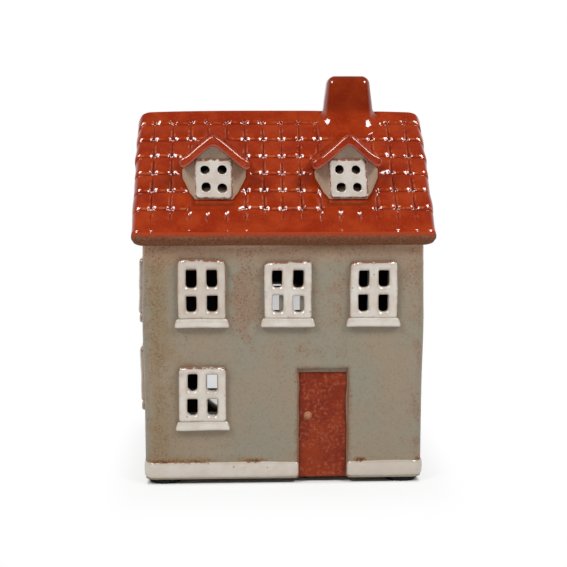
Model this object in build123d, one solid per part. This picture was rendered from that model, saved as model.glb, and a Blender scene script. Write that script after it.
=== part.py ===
from build123d import *
import os
from math import cos, radians, sin, tan

# Glazed stoneware tealight house: the clay pieces that are joined to make it, its pads and its candle.
# Millimetres. The origin is the middle of the footprint on the table, +Z is up, the front faces -Y.

# House body
house_width = 113.6
house_depth = 82.0
wall_top = 99.65
wall = 6.0
corner_radius = 4.0
floor_thickness = 6.0
plinth_height = 7.5
plinth_proud = 0.5
plinth_edge = 0.4
plinth_bed = 1.4

# Foot pads
pad_height = 2.2
pad_diameter = 14.0
pad_inset = 8.0

# Main roof, laid on the tops of the walls
roof_pitch = 46.0
roof_thickness = 7.5
verge_reach = 3.9
eave_reach = 7.2
eave_radius = 2.5
verge_bevel = 1.5
ridge_radius = 2.0
tile_first_row = 8.2
tile_row_pitch = 9.5
tile_column_pitch = 7.5
tile_step = 1.0
groove_width = 1.6
groove_depth = 0.5
seat_below_grooves = 0.4

# Chimney stack on the ridge
chimney_x = 29.0
chimney_width = 20.2
chimney_depth = 12.6
chimney_rise = 13.9
chimney_taper = 1.2
chimney_corner = 1.8
chimney_edge = 1.6

# Dormers
dormer_spacing = 54.2
dormer_shift = -0.9
dormer_setback = 6.0
dormer_jamb = 0.6
dormer_splay = 17.8
dormer_run = 20.0
dormer_wall = 2.5
dormer_throat = 10.0
dormer_rise = 26.2
dormer_pitch = 41.0
dormer_roof_width = 26.6
dormer_roof_thickness = 3.0
dormer_roof_reach = 3.4
dormer_chimney_gap = 0.5
dormer_ridge_radius = 2.5
dormer_eave_radius = 1.3
dormer_window_width = 15.3
dormer_window_height = 15.9
dormer_window_lift = 0.2
dormer_window_proud = 1.8
dormer_hole_diameter = 3.6
dormer_hole_spacing_x = 6.5
dormer_hole_spacing_z = 7.2

# Windows in the walls: the lower ones take a share of the bare height between plinth and upper sills
window_width = 19.5
window_height = 22.4
window_proud = 2.3
window_edge = 0.8
pane_width = 4.2
pane_height = 6.8
pane_foot_bevel = 1.2
pane_spacing_x = 8.2
pane_spacing_z = 10.0
sill_width = 22.5
sill_height = 3.7
sill_proud = 3.1
side_sill_proud = 2.4
sill_edge_radius = 1.2
window_pitch = 34.6
front_window_shift = 1.5
upper_window_drop = 8.55
front_lower_share = 0.445
side_lower_share = 0.627

# Door
door_x = 15.95
door_width = 20.1
door_top = 47.5
door_recess = 3.5
door_thickness = 1.5
knob_diameter = 3.0
knob_proud = 1.5
knob_edge = 0.8
knob_inset = 3.9
knob_height = 28.0

# Arched opening in the rear wall
opening_width = 70.0
opening_top = 72.2
opening_lip = 4.6
opening_corner = 12.7

# Tealight
cup_diameter = 38.0
cup_height = 16.0
cup_wall = 0.5
wax_depth = 12.5
wax_shrinkage = 0.15
wick_diameter = 1.4
wick_stand = 6.0
sustainer_diameter = 13.0
sustainer_thickness = 0.5
sustainer_neck_diameter = 3.0
sustainer_neck_height = 4.0

# Worked out from the sizes above
half_width = house_width / 2
half_depth = house_depth / 2
inner_width = half_width - wall
inner_depth = half_depth - wall
floor_top = pad_height + floor_thickness
plinth_top = pad_height + plinth_height
opening_base = floor_top + opening_lip
slope = radians(roof_pitch)
ridge_height = wall_top + half_depth * tan(slope) + roof_thickness / cos(slope)
verge_width = house_width + 2 * verge_reach
slope_length = (half_depth + eave_reach) / cos(slope)
seat_depth = groove_depth + tile_step + seat_below_grooves
chimney_top = ridge_height + chimney_rise
dormer_face = half_depth - dormer_setback
dormer_foot = ridge_height - dormer_face * tan(slope)
dormer_width = dormer_window_width + 2 * dormer_jamb
dormer_ridge = dormer_foot + dormer_rise
dormer_window_base = dormer_foot + dormer_window_lift
upper_sill_base = wall_top - upper_window_drop - window_height - sill_height
bare_height = upper_sill_base - plinth_top - sill_height - window_height
front_lower_sill_base = plinth_top + front_lower_share * bare_height
side_lower_sill_base = plinth_top + side_lower_share * bare_height
far = house_width + house_depth + ridge_height

front_face = Plane((0, -half_depth, 0), x_dir=(1, 0, 0), z_dir=(0, -1, 0))
rear_face = Plane((0, half_depth, 0), x_dir=(-1, 0, 0), z_dir=(0, 1, 0))
left_face = Plane((-half_width, 0, 0), x_dir=(0, -1, 0), z_dir=(-1, 0, 0))
right_face = Plane((half_width, 0, 0), x_dir=(0, 1, 0), z_dir=(1, 0, 0))

parts = {}


def roof_height(y, depth):
    """Height, at y from the ridge, of the plane that lies depth below the tiles."""
    return ridge_height - depth / cos(slope) - abs(y) * tan(slope)


def under_slopes(depth):
    """Everything below the two planes that lie depth below the tiles."""
    outline = Polyline(
        (-far, -far),
        (far, -far),
        (far, roof_height(far, depth)),
        (0, roof_height(0, depth)),
        (-far, roof_height(far, depth)),
        close=True,
    )
    return extrude(Plane.YZ * make_face(outline), far, both=True)


def region(x_low, x_high, y_low, y_high):
    """An upright box that is taller than the house, for cutting out one stretch of it."""
    middle = Pos((x_low + x_high) / 2, (y_low + y_high) / 2, 0)
    return middle * Box(x_high - x_low, y_high - y_low, 2 * far)


def raised(face, sketch, proud):
    """A sketch on a wall's face, raised outwards."""
    return extrude(face * sketch, proud)


def sunk(face, sketch, depth):
    """A sketch on a wall's face, taken inwards."""
    return extrude(face * sketch, -depth)


def ease_front(solid, face, edge):
    """Takes the sharpness off the outline of a raised piece's front."""
    front = solid.faces().sort_by(Axis(face.origin, face.z_dir))[-1]
    return chamfer(front.edges(), edge)


# Windows: a plaque with four panes over a sill, both raised on the wall's face
def four_panes(middle, pane):
    """A pane sketched four times, two by two round the middle of its window."""
    grid = GridLocations(pane_spacing_x, pane_spacing_z, 2, 2)
    return Sketch() + [middle * place * pane for place in grid]


def add_window(name, face, u, sill_base, ledge_proud):
    """Adds a window's frame and sill, and returns the cut for the panes in the wall behind it."""
    middle = Pos(u, sill_base + sill_height + window_height / 2)
    plaque = middle * Rectangle(window_width, window_height)
    frame = ease_front(raised(face, plaque, window_proud), face, window_edge)
    opening = Rectangle(pane_width, pane_height)
    pane = chamfer(opening.vertices().group_by(Axis.Y)[0], pane_foot_bevel)
    parts[name + "_frame"] = frame - raised(face, four_panes(middle, pane), window_proud)
    ledge = Pos(u, sill_base + sill_height / 2) * Rectangle(sill_width, sill_height)
    sill = raised(face, ledge, ledge_proud)
    nosing = sill.faces().sort_by(Axis(face.origin, face.z_dir))[-1].edges().sort_by(SortBy.LENGTH)[-2:]
    parts[name + "_sill"] = fillet(nosing, sill_edge_radius)
    return sunk(face, four_panes(middle, opening), wall)


left_column = front_window_shift - window_pitch
front_windows = [
    ("front_upper_left", left_column, upper_sill_base),
    ("front_upper_middle", front_window_shift, upper_sill_base),
    ("front_upper_right", front_window_shift + window_pitch, upper_sill_base),
    ("front_lower_left", left_column, front_lower_sill_base),
]
front_panes = [add_window(name, front_face, u, base, sill_proud) for name, u, base in front_windows]


def side_windows(side, face, front_sign):
    """Two windows on each floor of a gable wall; front_sign is the front's way across that wall."""
    panes = []
    for floor, base in (("upper", upper_sill_base), ("lower", side_lower_sill_base)):
        for end, way in (("front", front_sign), ("rear", -front_sign)):
            name = f"{side}_{floor}_{end}"
            panes.append(add_window(name, face, way * window_pitch / 2, base, side_sill_proud))
    return panes


left_panes = side_windows("left", left_face, 1)
right_panes = side_windows("right", right_face, -1)

# Plinth: a ring let into the walls, broken at the door, in strips that meet where the walls meet
outline = RectangleRounded(house_width, house_depth, corner_radius)
between_walls = (-inner_depth, inner_depth)
plinth_width = house_width + 2 * plinth_proud
plinth_depth = house_depth + 2 * plinth_proud
plinth_outline = RectangleRounded(plinth_width, plinth_depth, corner_radius + plinth_proud)
plinth = extrude(Pos(0, 0, pad_height) * plinth_outline, plinth_height)
plinth = chamfer(plinth.faces().sort_by(Axis.Z)[-1].edges(), plinth_edge)
bed_outline = offset(outline, -plinth_bed)
plinth -= extrude(Pos(0, 0, pad_height) * bed_outline, plinth_height)
door_left = door_x - door_width / 2
door_right = door_x + door_width / 2
plinth_strips = {
    "front_left_plinth": region(-far, door_left, -far, -inner_depth),
    "front_right_plinth": region(door_right, far, -far, -inner_depth),
    "left_plinth": region(-far, -inner_width, *between_walls),
    "right_plinth": region(inner_width, far, *between_walls),
    "rear_plinth": region(-far, far, inner_depth, far),
}
for name, stretch in plinth_strips.items():
    parts[name] = plinth & stretch
front_strips = [parts["front_left_plinth"], parts["front_right_plinth"]]

# Walls: the front and rear ones run the full width, and the gable walls stand between them
house_block = extrude(Pos(0, 0, pad_height) * outline, far) & under_slopes(roof_thickness)

door_sketch = Pos(door_x, (pad_height + door_top) / 2) * Rectangle(door_width, door_top - pad_height)
front_wall = house_block & region(-far, far, -far, -inner_depth)
front_wall -= [*front_panes, *front_strips]
parts["front_wall"] = front_wall - sunk(front_face, door_sketch, door_recess)

arch_spring = opening_top - opening_width / 2
arch = Pos(0, (opening_base + arch_spring) / 2) * Rectangle(opening_width, arch_spring - opening_base)
arch = fillet(arch.vertices().group_by(Axis.Y)[0], opening_corner)
arch += Pos(0, arch_spring) * (Circle(opening_width / 2) & Pos(0, far / 2) * Rectangle(far, far))
rear_wall = house_block & region(-far, far, inner_depth, far)
parts["rear_wall"] = rear_wall - [sunk(rear_face, arch, wall), parts["rear_plinth"]]

left_wall = house_block & region(-far, -inner_width, *between_walls)
parts["left_gable_wall"] = left_wall - [*left_panes, parts["left_plinth"]]
right_wall = house_block & region(inner_width, far, *between_walls)
parts["right_gable_wall"] = right_wall - [*right_panes, parts["right_plinth"]]
floor_sketch = Pos(0, 0, pad_height) * Rectangle(2 * inner_width, 2 * inner_depth)
parts["base_slab"] = extrude(floor_sketch, floor_thickness)

# Door: a panel at the back of its recess, with a round knob
door_setback = door_recess - door_thickness
door_face = Plane((0, -half_depth + door_setback, 0), x_dir=front_face.x_dir, z_dir=front_face.z_dir)
parts["door_panel"] = sunk(door_face, door_sketch, door_thickness)
knob_centre = door_face * Pos(door_x - door_width / 2 + knob_inset, knob_height)
knob = extrude(Circle(knob_diameter / 2), knob_proud)
parts["door_knob"] = knob_centre * chamfer(knob.faces().sort_by(Axis.Z)[-1].edges(), knob_edge)

# Foot pads under the corners
for end, y_sign in (("front", -1), ("rear", 1)):
    for side, x_sign in (("left", -1), ("right", 1)):
        place = Pos(x_sign * (half_width - pad_inset), y_sign * (half_depth - pad_inset), pad_height / 2)
        parts[f"{end}_{side}_pad"] = place * Cylinder(pad_diameter / 2, pad_height)


# Roof slabs: stepped tile rows carried across the house, and tile columns carried down each slope
def slope_point(along, depth):
    """A point of the roof's section on the rear slope: along the slope from the ridge, depth below."""
    y = along * cos(slope) - depth * sin(slope)
    z = ridge_height - along * sin(slope) - depth * cos(slope)
    return y, z


def mirrored(points):
    """The same points on the front slope, in the order that closes the section."""
    return [(-y, z) for y, z in reversed(points)]


def roof_section():
    """The two slopes in section: each row of tiles rises to its lower edge and steps down there."""
    rear = []
    row_end = tile_first_row
    while row_end < slope_length - tile_row_pitch / 2:
        rear += [slope_point(row_end, 0), slope_point(row_end, tile_step)]
        row_end += tile_row_pitch
    eave_top = slope_point(slope_length, 0)
    rear += [eave_top, slope_point(slope_length, roof_thickness)]
    ridge = (0, ridge_height)
    hollow = (0, roof_height(0, roof_thickness))
    section = make_face(Polyline(ridge, *rear, hollow, *mirrored(rear), close=True))
    section = fillet(section.vertices().sort_by_distance(ridge)[0], ridge_radius)
    for y, z in (eave_top, (-eave_top[0], eave_top[1])):
        section = fillet(section.vertices().sort_by_distance((y, z))[0], eave_radius)
    return section


def tile_columns(way):
    """One slope's tiles in section across the house, with a groove at each joint, carried down it."""
    down = Plane((0, 0, ridge_height), x_dir=(-way, 0, 0), z_dir=(0, way * cos(slope), -sin(slope)))
    section = Pos(0, -roof_thickness) * Rectangle(verge_width, 2 * roof_thickness)
    section = chamfer(section.vertices().group_by(Axis.Y)[-1], verge_bevel)
    lips = [(-groove_width / 2, 0), (groove_width / 2, 0)]
    groove = make_face(Polyline(*lips, (0, -groove_depth - tile_step), close=True))
    count = round(verge_width / tile_column_pitch)
    joints = [verge_width * (number / count - 1 / 2) for number in range(1, count)]
    section -= [Pos(x, 0) * groove for x in joints]
    return extrude(down * section, slope_length + roof_thickness, both=True)


roof_body = extrude(Plane.YZ * roof_section(), verge_width / 2, both=True)
front_roof = (roof_body & region(-far, far, -far, 0)) & tile_columns(-1)
rear_roof = (roof_body & region(-far, far, 0, far)) & tile_columns(1)

# Chimney stack: eased and tapered, seated astride the ridge
under_seats = under_slopes(seat_depth)
chimney_base = roof_height(chimney_depth, seat_depth)
chimney_plan = Rectangle(chimney_width, chimney_depth)
chimney_plan = chamfer(chimney_plan.vertices(), chimney_corner)
chimney_foot = Pos(chimney_x, 0, chimney_base) * chimney_plan
chimney = extrude(chimney_foot, chimney_top - chimney_base, taper=chimney_taper)
chimney = chamfer(chimney.faces().sort_by(Axis.Z)[-1].edges(), chimney_edge)
chimney -= under_seats
parts["chimney_stack"] = chimney


# Dormers: splayed cheeks and a little gable, hollow to the loft, under a roof of their own
def dormer_outline(thickness):
    """The plan of a dormer's walls, or of the hollow that lies a wall's thickness inside them."""
    spread = tan(radians(dormer_splay))
    front = -dormer_face + thickness
    back = -dormer_face + dormer_run
    side = thickness / cos(radians(dormer_splay))
    near = dormer_width / 2 + spread * (front + dormer_face) - side
    wide = dormer_width / 2 + spread * dormer_run - side
    return make_face(Polyline((-near, front), (near, front), (wide, back), (-wide, back), close=True))


def dormer_roof_section():
    """The dormer roof's two leaves, with a rounded ridge and rounded eaves."""
    pitch = radians(dormer_pitch)
    half = dormer_roof_width / 2
    eave = (half, dormer_ridge - half * tan(pitch))
    lower = (eave[0] - dormer_roof_thickness * sin(pitch), eave[1] - dormer_roof_thickness * cos(pitch))
    ridge = (0, dormer_ridge)
    hollow = (0, dormer_ridge - dormer_roof_thickness / cos(pitch))
    left = [(-x, z) for x, z in (lower, eave)]
    section = make_face(Polyline(ridge, eave, lower, hollow, *left, close=True))
    section = fillet(section.vertices().sort_by_distance(ridge)[0], dormer_ridge_radius)
    for x, z in (eave, left[1]):
        section = fillet(section.vertices().sort_by_distance((x, z))[0], dormer_eave_radius)
    return section


def under_dormer_roof():
    """Everything below the dormer roof's leaves."""
    pitch = radians(dormer_pitch)
    hollow = dormer_ridge - dormer_roof_thickness / cos(pitch)
    drop = hollow - far * tan(pitch)
    section = make_face(Polyline((0, hollow), (far, drop), (-far, drop), close=True))
    return extrude(Plane.XZ * section, far)


def dormer_window_sketch():
    """The dormer window's plaque, its four round holes and the square ones in the clay behind them."""
    middle = Pos(0, dormer_window_base + dormer_window_height / 2)
    plaque = middle * Rectangle(dormer_window_width, dormer_window_height)
    grid = GridLocations(dormer_hole_spacing_x, dormer_hole_spacing_z, 2, 2)
    round_holes = Sketch() + [middle * place * Circle(dormer_hole_diameter / 2) for place in grid]
    square = Rectangle(dormer_hole_diameter, dormer_hole_diameter)
    square_holes = Sketch() + [middle * place * square for place in grid]
    return plaque, round_holes, square_holes


dormer_roof_back = chimney_depth / 2 + dormer_chimney_gap
dormer_roof_length = dormer_face + dormer_roof_reach - dormer_roof_back
dormer_back = Plane.XZ.offset(dormer_roof_back)
dormer_front = Plane((0, -dormer_face, 0), x_dir=front_face.x_dir, z_dir=front_face.z_dir)
for side, sign in (("left", -1), ("right", 1)):
    place = Pos(sign * dormer_spacing / 2 + dormer_shift, 0, 0)
    plaque, round_holes, square_holes = dormer_window_sketch()
    cover = extrude(dormer_back * dormer_roof_section(), dormer_roof_length) - under_seats
    cheeks = extrude(dormer_outline(0), far) & under_dormer_roof()
    cheeks -= [extrude(dormer_outline(dormer_wall), far), under_seats]
    cheeks -= sunk(dormer_front, square_holes, dormer_wall)
    window = raised(dormer_front, plaque, dormer_window_proud)
    window = ease_front(window, dormer_front, window_edge)
    window -= [raised(dormer_front, round_holes, dormer_window_proud), cover]
    throat_back = -dormer_face + dormer_wall + dormer_throat
    throat = extrude(dormer_outline(dormer_wall), far) & region(-far, far, -far, throat_back)
    parts[side + "_dormer_roof"] = place * cover
    parts[side + "_dormer_wall"] = place * cheeks
    parts[side + "_dormer_window"] = place * window
    front_roof -= [place * cover, place * cheeks, place * throat]

parts["front_roof_slab"] = front_roof - chimney
parts["rear_roof_slab"] = rear_roof - chimney

# Tealight, standing on the base slab at the middle of the house
cup_seat = Pos(0, 0, floor_top)
upright = (Align.CENTER, Align.CENTER, Align.MIN)
cup = Cylinder(cup_diameter / 2, cup_height, align=upright)
cup -= Pos(0, 0, cup_wall) * Cylinder(cup_diameter / 2 - cup_wall, cup_height, align=upright)
parts["tealight_cup"] = cup_seat * cup

sustainer_seat = cup_seat * Pos(0, 0, cup_wall)
sustainer = Cylinder(sustainer_diameter / 2, sustainer_thickness, align=upright)
sustainer += Cylinder(sustainer_neck_diameter / 2, sustainer_neck_height, align=upright)
wick_seat = Pos(0, 0, sustainer_thickness)
wick_length = wax_depth - sustainer_thickness + wick_stand
wick = wick_seat * Cylinder(wick_diameter / 2, wick_length, align=upright)
parts["tealight_wick"] = sustainer_seat * wick
parts["wick_sustainer"] = sustainer_seat * (sustainer - wick)
wax_radius = cup_diameter / 2 - cup_wall - wax_shrinkage
wax = Cylinder(wax_radius, wax_depth, align=upright) - [sustainer, wick]
parts["tealight_wax"] = sustainer_seat * wax

os.makedirs("parts", exist_ok=True)
for name, shape in parts.items():
    export_step(shape, f"parts/{name}.step")
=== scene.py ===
from math import cos, pi, radians, sin, tan

import bmesh
import bpy
import numpy as np
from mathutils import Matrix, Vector
from mathutils.geometry import tessellate_polygon


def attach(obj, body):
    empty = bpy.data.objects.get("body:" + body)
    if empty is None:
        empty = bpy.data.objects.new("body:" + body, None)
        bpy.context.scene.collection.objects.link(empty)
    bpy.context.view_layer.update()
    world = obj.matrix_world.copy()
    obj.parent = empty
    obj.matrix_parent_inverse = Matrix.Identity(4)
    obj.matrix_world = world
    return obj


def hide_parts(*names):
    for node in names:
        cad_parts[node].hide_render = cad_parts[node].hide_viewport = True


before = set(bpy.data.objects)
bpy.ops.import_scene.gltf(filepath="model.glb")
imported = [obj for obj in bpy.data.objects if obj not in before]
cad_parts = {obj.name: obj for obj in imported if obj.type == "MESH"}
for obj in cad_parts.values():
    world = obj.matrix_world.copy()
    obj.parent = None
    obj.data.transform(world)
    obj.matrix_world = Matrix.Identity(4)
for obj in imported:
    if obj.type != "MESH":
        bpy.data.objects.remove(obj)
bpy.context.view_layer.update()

# Glazed stoneware house for a tealight. Shapes are worked out in millimetres and laid in metres.
MM = 0.001

# House body, as in the CAD model
HALF_WIDTH = 56.8
HALF_DEPTH = 41.0
WALL = 6.0
WALL_CORNER = 4.0
FOOT = 2.2
FLOOR_TOP = 8.2
PLINTH_TOP = 9.3
PLINTH_PROUD = 0.5
PLINTH_END = 1.6

# Roof
PITCH = radians(46.0)
RIDGE = 152.9
ROOF_THICK = 7.5
SLOPE = 69.43
VERGE = 60.7
RIDGE_ROUND = 1.4
EAVE_ROUND = 3.4
UNDER_ROUND = 2.0
VERGE_ROUND = 3.0
CORNER_ROUND = 6.0
RIDGE_SAG = 0.9
TILE_RAMP = 1.05
TILE_CROWN = 0.22
LIP_ROUND = 3.1
LIP_DROP = 1.15
GROOVE_ROUND = 2.3
GROOVE_DROP = 0.85
END_ROUND = 6.0
END_DRAW = 3.8
EAVE_HIGH = 109.0
LIPS = 8.2 + 9.5 * np.arange(6)
COLUMNS = 16
COLUMN = 2 * VERGE / COLUMNS

# Dormers
DORMERS = {"left": -28.0, "right": 26.2}
DORMER_PITCH = radians(41.0)
DORMER_RIDGE = 142.86
DORMER_HALF = 13.3
DORMER_FRONT = -38.4
DORMER_FACE = -35.0
DORMER_CHEEK = ((-35.0, -34.0, -27.0, -15.0), (8.3, 8.9, 12.9, 13.5))
DORMER_TIPS = {"left": (-13.6, 14.6), "right": (-14.8, 13.2)}
DORMER_THICK = 3.3
DORMER_SKEW = {"left": 0.015, "right": 0.07}
DORMER_SPLAY = radians(17.8)
DORMER_WALL_HALF = 8.25
DORMER_WALL = 2.5
DORMER_BEND = 1.2
DORMER_RUN = 20.0
DORMER_MIDDLE = 124.81
DORMER_PLAQUE = (15.3, 15.9)
DORMER_PROUD = 1.8
DORMER_ROUNDS = (1.7, 1.7, 0.45, 1.3)
DORMER_PANES = (3.6, 3.6)
DORMER_PITCHES = (6.5, 7.2)
DORMER_HOLE = 2.0
CLAY_FILLET = 3.0

# Chimney
CHIMNEY_X = 29.0
CHIMNEY_HALF = (10.1, 6.3)
CHIMNEY_TOP = 166.8
CHIMNEY_FLARE = 3.3
CHIMNEY_TAPER = 1.1
CHIMNEY_ROUND = 3.7


def eased(low, high, value):
    """A step that starts and ends level: 3t^2 - 2t^3 of the share of the way from low to high."""
    t = np.clip((value - low) / (high - low), 0.0, 1.0)
    return t * t * (3.0 - 2.0 * t)


def hand_wobble(points, seed, length, size):
    """Unevenness of hand-worked clay: six sine waves of about one length, in seeded directions, averaged."""
    draw = np.random.default_rng(seed)
    way = draw.normal(size=(6, points.shape[-1]))
    way *= draw.uniform(0.7, 1.4, (6, 1)) / np.linalg.norm(way, axis=1, keepdims=True)
    phase = draw.uniform(0.0, 2.0 * pi, 6)
    return 1.6 * size * np.sin(points @ way.T * (2.0 * pi / length) + phase).mean(-1)


def grid_faces(rows, columns, wrap=False):
    """Quads of a grid that is numbered row by row; with wrap, the last column joins the first."""
    number = np.arange(rows * columns).reshape(rows, columns)
    here = number if wrap else number[:, :-1]
    beside = np.roll(number, -1, axis=1) if wrap else number[:, 1:]
    return np.stack([here[:-1], beside[:-1], beside[1:], here[1:]], -1).reshape(-1, 4)


def tube_faces(rows, columns):
    """Faces of a grid whose columns close on themselves, with a cap over its first and its last row."""
    number = np.arange(rows * columns).reshape(rows, columns)
    return [grid_faces(rows, columns, True), number[0][None], number[-1][::-1][None]]


def bell(value, middle, wide):
    """A bell curve: e to the power of minus the square of the distance from the middle over the width."""
    return np.exp(-(((value - middle) / wide) ** 2))


def thick_sheet(outer, inner, kept, wrap=False, left_out=None, open_top=None):
    """Two skins on one grid: the kept cells of each, and a rim wherever a kept cell has no neighbour.

    Cells that are left out count as neighbours but aren't laid. Columns with an open top get no rim there.
    """
    rows, columns = outer.shape[:2]
    cells = grid_faces(rows, columns, wrap).reshape(*kept.shape, 4)
    behind = rows * columns
    edge = np.zeros((1, kept.shape[1]), bool)
    side = np.zeros((kept.shape[0], 1), bool)
    below = np.concatenate([edge, kept[:-1]])
    above = np.concatenate([kept[1:], edge])
    right = np.roll(kept, -1, axis=1) if wrap else np.concatenate([kept[:, 1:], side], 1)
    left = np.roll(kept, 1, axis=1) if wrap else np.concatenate([side, kept[:, :-1]], 1)
    laid = kept if left_out is None else kept & ~left_out
    if open_top is not None:
        above[-1] |= open_top
    faces = [cells[laid], cells[laid][:, ::-1] + behind]
    for number, neighbour in enumerate((below, right, above, left)):
        rim = cells[laid & ~neighbour]
        start, end = rim[:, number], rim[:, (number + 1) % 4]
        faces.append(np.stack([end, start, start + behind, end + behind], -1))
    return np.concatenate([outer.reshape(-1, 3), inner.reshape(-1, 3)]), faces


def piece(name, points, faces, finish, nodes, marks=None, body="house", sharp=None):
    """Lays points and faces in a mesh, closes its seams, turns it outwards, hangs it under its body and hides
    the CAD nodes it stands in for.
    """
    used = np.unique(np.concatenate([np.ravel(part) for part in faces]))
    place = np.zeros(len(points), int)
    place[used] = np.arange(len(used))
    mesh = bpy.data.meshes.new(name)
    caps = [np.ravel(part) for part in faces if np.shape(part)[-1] > 4]
    faces = [part for part in faces if np.shape(part)[-1] <= 4]
    faces += [cap[np.array(tessellate_polygon([points[cap].tolist()]))] for cap in caps]
    rows = [face for part in faces for face in place[part].tolist()]
    mesh.from_pydata((points[used] * MM).tolist(), [], rows)
    for mark, values in (marks or {}).items():
        layer = mesh.attributes.new(mark, "FLOAT", "POINT")
        layer.data.foreach_set("value", np.ravel(values)[used].astype(np.float32))
    shape = bmesh.new()
    shape.from_mesh(mesh)
    bmesh.ops.remove_doubles(shape, verts=shape.verts, dist=2e-7)
    bmesh.ops.recalc_face_normals(shape, faces=shape.faces)
    if shape.calc_volume(signed=True) < 0.0:
        bmesh.ops.reverse_faces(shape, faces=shape.faces)
    shape.to_mesh(mesh)
    shape.free()
    mesh.shade_smooth()
    if sharp:
        mesh.set_sharp_from_angle(angle=radians(sharp))
    made = bpy.data.objects.new(name, mesh)
    bpy.context.scene.collection.objects.link(made)
    made.data.materials.append(finish)
    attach(made, body)
    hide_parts(*nodes)
    return made


# Finishes
def tone(red, green, blue):
    """A colour given as 0 to 255 display values, turned to linear light."""
    share = np.array([red, green, blue]) / 255.0
    linear = np.where(share <= 0.04045, share / 12.92, ((share + 0.055) / 1.055) ** 2.4)
    return (*linear.tolist(), 1.0)


def wire(tree, kind, wires, **settings):
    """Adds a node, sets its options, and fills its inputs with values or with other nodes' outputs."""
    made = tree.nodes.new(kind)
    for key, value in settings.items():
        setattr(made, key, value)
    for socket, value in wires.items():
        if isinstance(value, bpy.types.NodeSocket):
            tree.links.new(value, made.inputs[socket])
        else:
            made.inputs[socket].default_value = value
    return made


def ramp(tree, value, low, high, first=0.0, last=1.0, curve="SMOOTHSTEP"):
    """The value's way from low to high, as a share from first to last."""
    wires = {"Value": value, "From Min": low, "From Max": high, "To Min": first, "To Max": last}
    return wire(tree, "ShaderNodeMapRange", wires, interpolation_type=curve).outputs["Result"]


def sums(tree, operation, first, second):
    return wire(tree, "ShaderNodeMath", {0: first, 1: second}, operation=operation).outputs[0]


class Glaze:
    """A finish under construction: one Principled shader and the nodes that feed it."""

    def __init__(self, name, **constants):
        self.material = bpy.data.materials.new(name)
        self.material.use_nodes = True
        self.tree = self.material.node_tree
        self.shader = self.tree.nodes["Principled BSDF"]
        for socket, value in constants.items():
            self.shader.inputs[socket.replace("_", " ")].default_value = value
        self.spot = self.tree.nodes.new("ShaderNodeTexCoord").outputs["Object"]

    def mark(self, name):
        return wire(self.tree, "ShaderNodeAttribute", {}, attribute_name=name).outputs["Fac"]

    def cloud(self, grain, detail=4.0, rough=0.55, stretch=(1.0, 1.0, 1.0)):
        """Noise with about grain millimetres from one patch to the next."""
        spread = wire(self.tree, "ShaderNodeMapping", {"Vector": self.spot, "Scale": stretch}).outputs[0]
        wires = {"Vector": spread, "Scale": 1.0 / (grain * MM), "Detail": detail, "Roughness": rough}
        return wire(self.tree, "ShaderNodeTexNoise", wires).outputs["Fac"]

    def cells(self, grain):
        """Distance to the nearest of points that lie about grain millimetres apart."""
        wires = {"Vector": self.spot, "Scale": 1.0 / (grain * MM)}
        return wire(self.tree, "ShaderNodeTexVoronoi", wires).outputs["Distance"]

    def ramp(self, value, low, high, first=0.0, last=1.0):
        return ramp(self.tree, value, low, high, first, last)

    def ragged(self, share, cloud, spread):
        """The share, moved up and down by a cloud."""
        return sums(self.tree, "ADD", share, self.ramp(cloud, 0.3, 0.7, -spread, spread))

    def broken(self, share, cloud, low, high, first=0.0, last=1.0):
        """The share times a cloud's way from low to high."""
        return sums(self.tree, "MULTIPLY", share, self.ramp(cloud, low, high, first, last))

    def mix(self, share, under, over):
        wires = {0: share, 6: under, 7: over}
        return wire(self.tree, "ShaderNodeMix", wires, data_type="RGBA").outputs[2]

    def bumps(self, height, depth, strength=1.0, under=None):
        """Relief of depth millimetres from a height of 0 to 1."""
        wires = {"Height": height, "Distance": depth * MM, "Strength": strength}
        if under is not None:
            wires["Normal"] = under
        return wire(self.tree, "ShaderNodeBump", wires).outputs["Normal"]

    def done(self, **outputs):
        for socket, value in outputs.items():
            self.tree.links.new(value, self.shader.inputs[socket.replace("_", " ")])
        return self.material


def roof_glaze():
    """Glossy red-orange glaze, breaking to light orange on the tile edges; dark in the grooves and under the
    lips, partly pooled glaze and partly painted shade.
    """
    glaze = Glaze("red_roof_glaze", IOR=1.75)
    patches = glaze.cloud(9.0, 5.0)
    colour = glaze.mix(glaze.ramp(patches, 0.35, 0.68), tone(143, 38, 4), tone(162, 55, 14))
    fine = glaze.cloud(0.7, 3.0)
    colour = glaze.mix(glaze.ramp(fine, 0.52, 0.75, 0.0, 0.35), colour, tone(182, 84, 48))
    edge = glaze.broken(glaze.mark("edge"), glaze.cloud(2.2, 3.0), 0.36, 0.62)
    colour = glaze.mix(glaze.ramp(edge, 0.15, 0.9, 0.0, 0.65), colour, tone(192, 106, 70))
    # Painted shade with pooled glaze: grooves and the undersides of lips go dark red-brown.
    colour = glaze.mix(glaze.ramp(glaze.mark("dark_glaze_and_shade"), 0.1, 0.9, 0.0, 0.72), colour, tone(84, 20, 2))
    bare = glaze.ragged(glaze.mark("bare"), glaze.cloud(1.6, 4.0), 0.1)
    speck = glaze.ramp(glaze.cloud(0.5, 2.0), 0.46, 0.64)
    earth = glaze.mix(speck, tone(64, 35, 10), tone(102, 67, 38))
    deep = glaze.mix(glaze.ramp(glaze.mark("bare"), 0.55, 1.0), tone(104, 38, 8), earth)
    bare = glaze.ramp(bare, 0.1, 0.85)
    colour = glaze.mix(bare, colour, deep)
    # Painted shade: the slope under each dormer, seen through the dormer's holes, is painted near black.
    colour = glaze.mix(glaze.mark("inside_shade"), colour, tone(22, 16, 12))
    rough = glaze.ramp(bare, 0.0, 1.0, 0.09, 0.2)
    uneven = glaze.bumps(glaze.cloud(5.0, 2.0), 0.25, 0.5)
    return glaze.done(Base_Color=colour, Roughness=rough, Normal=uneven)


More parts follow.
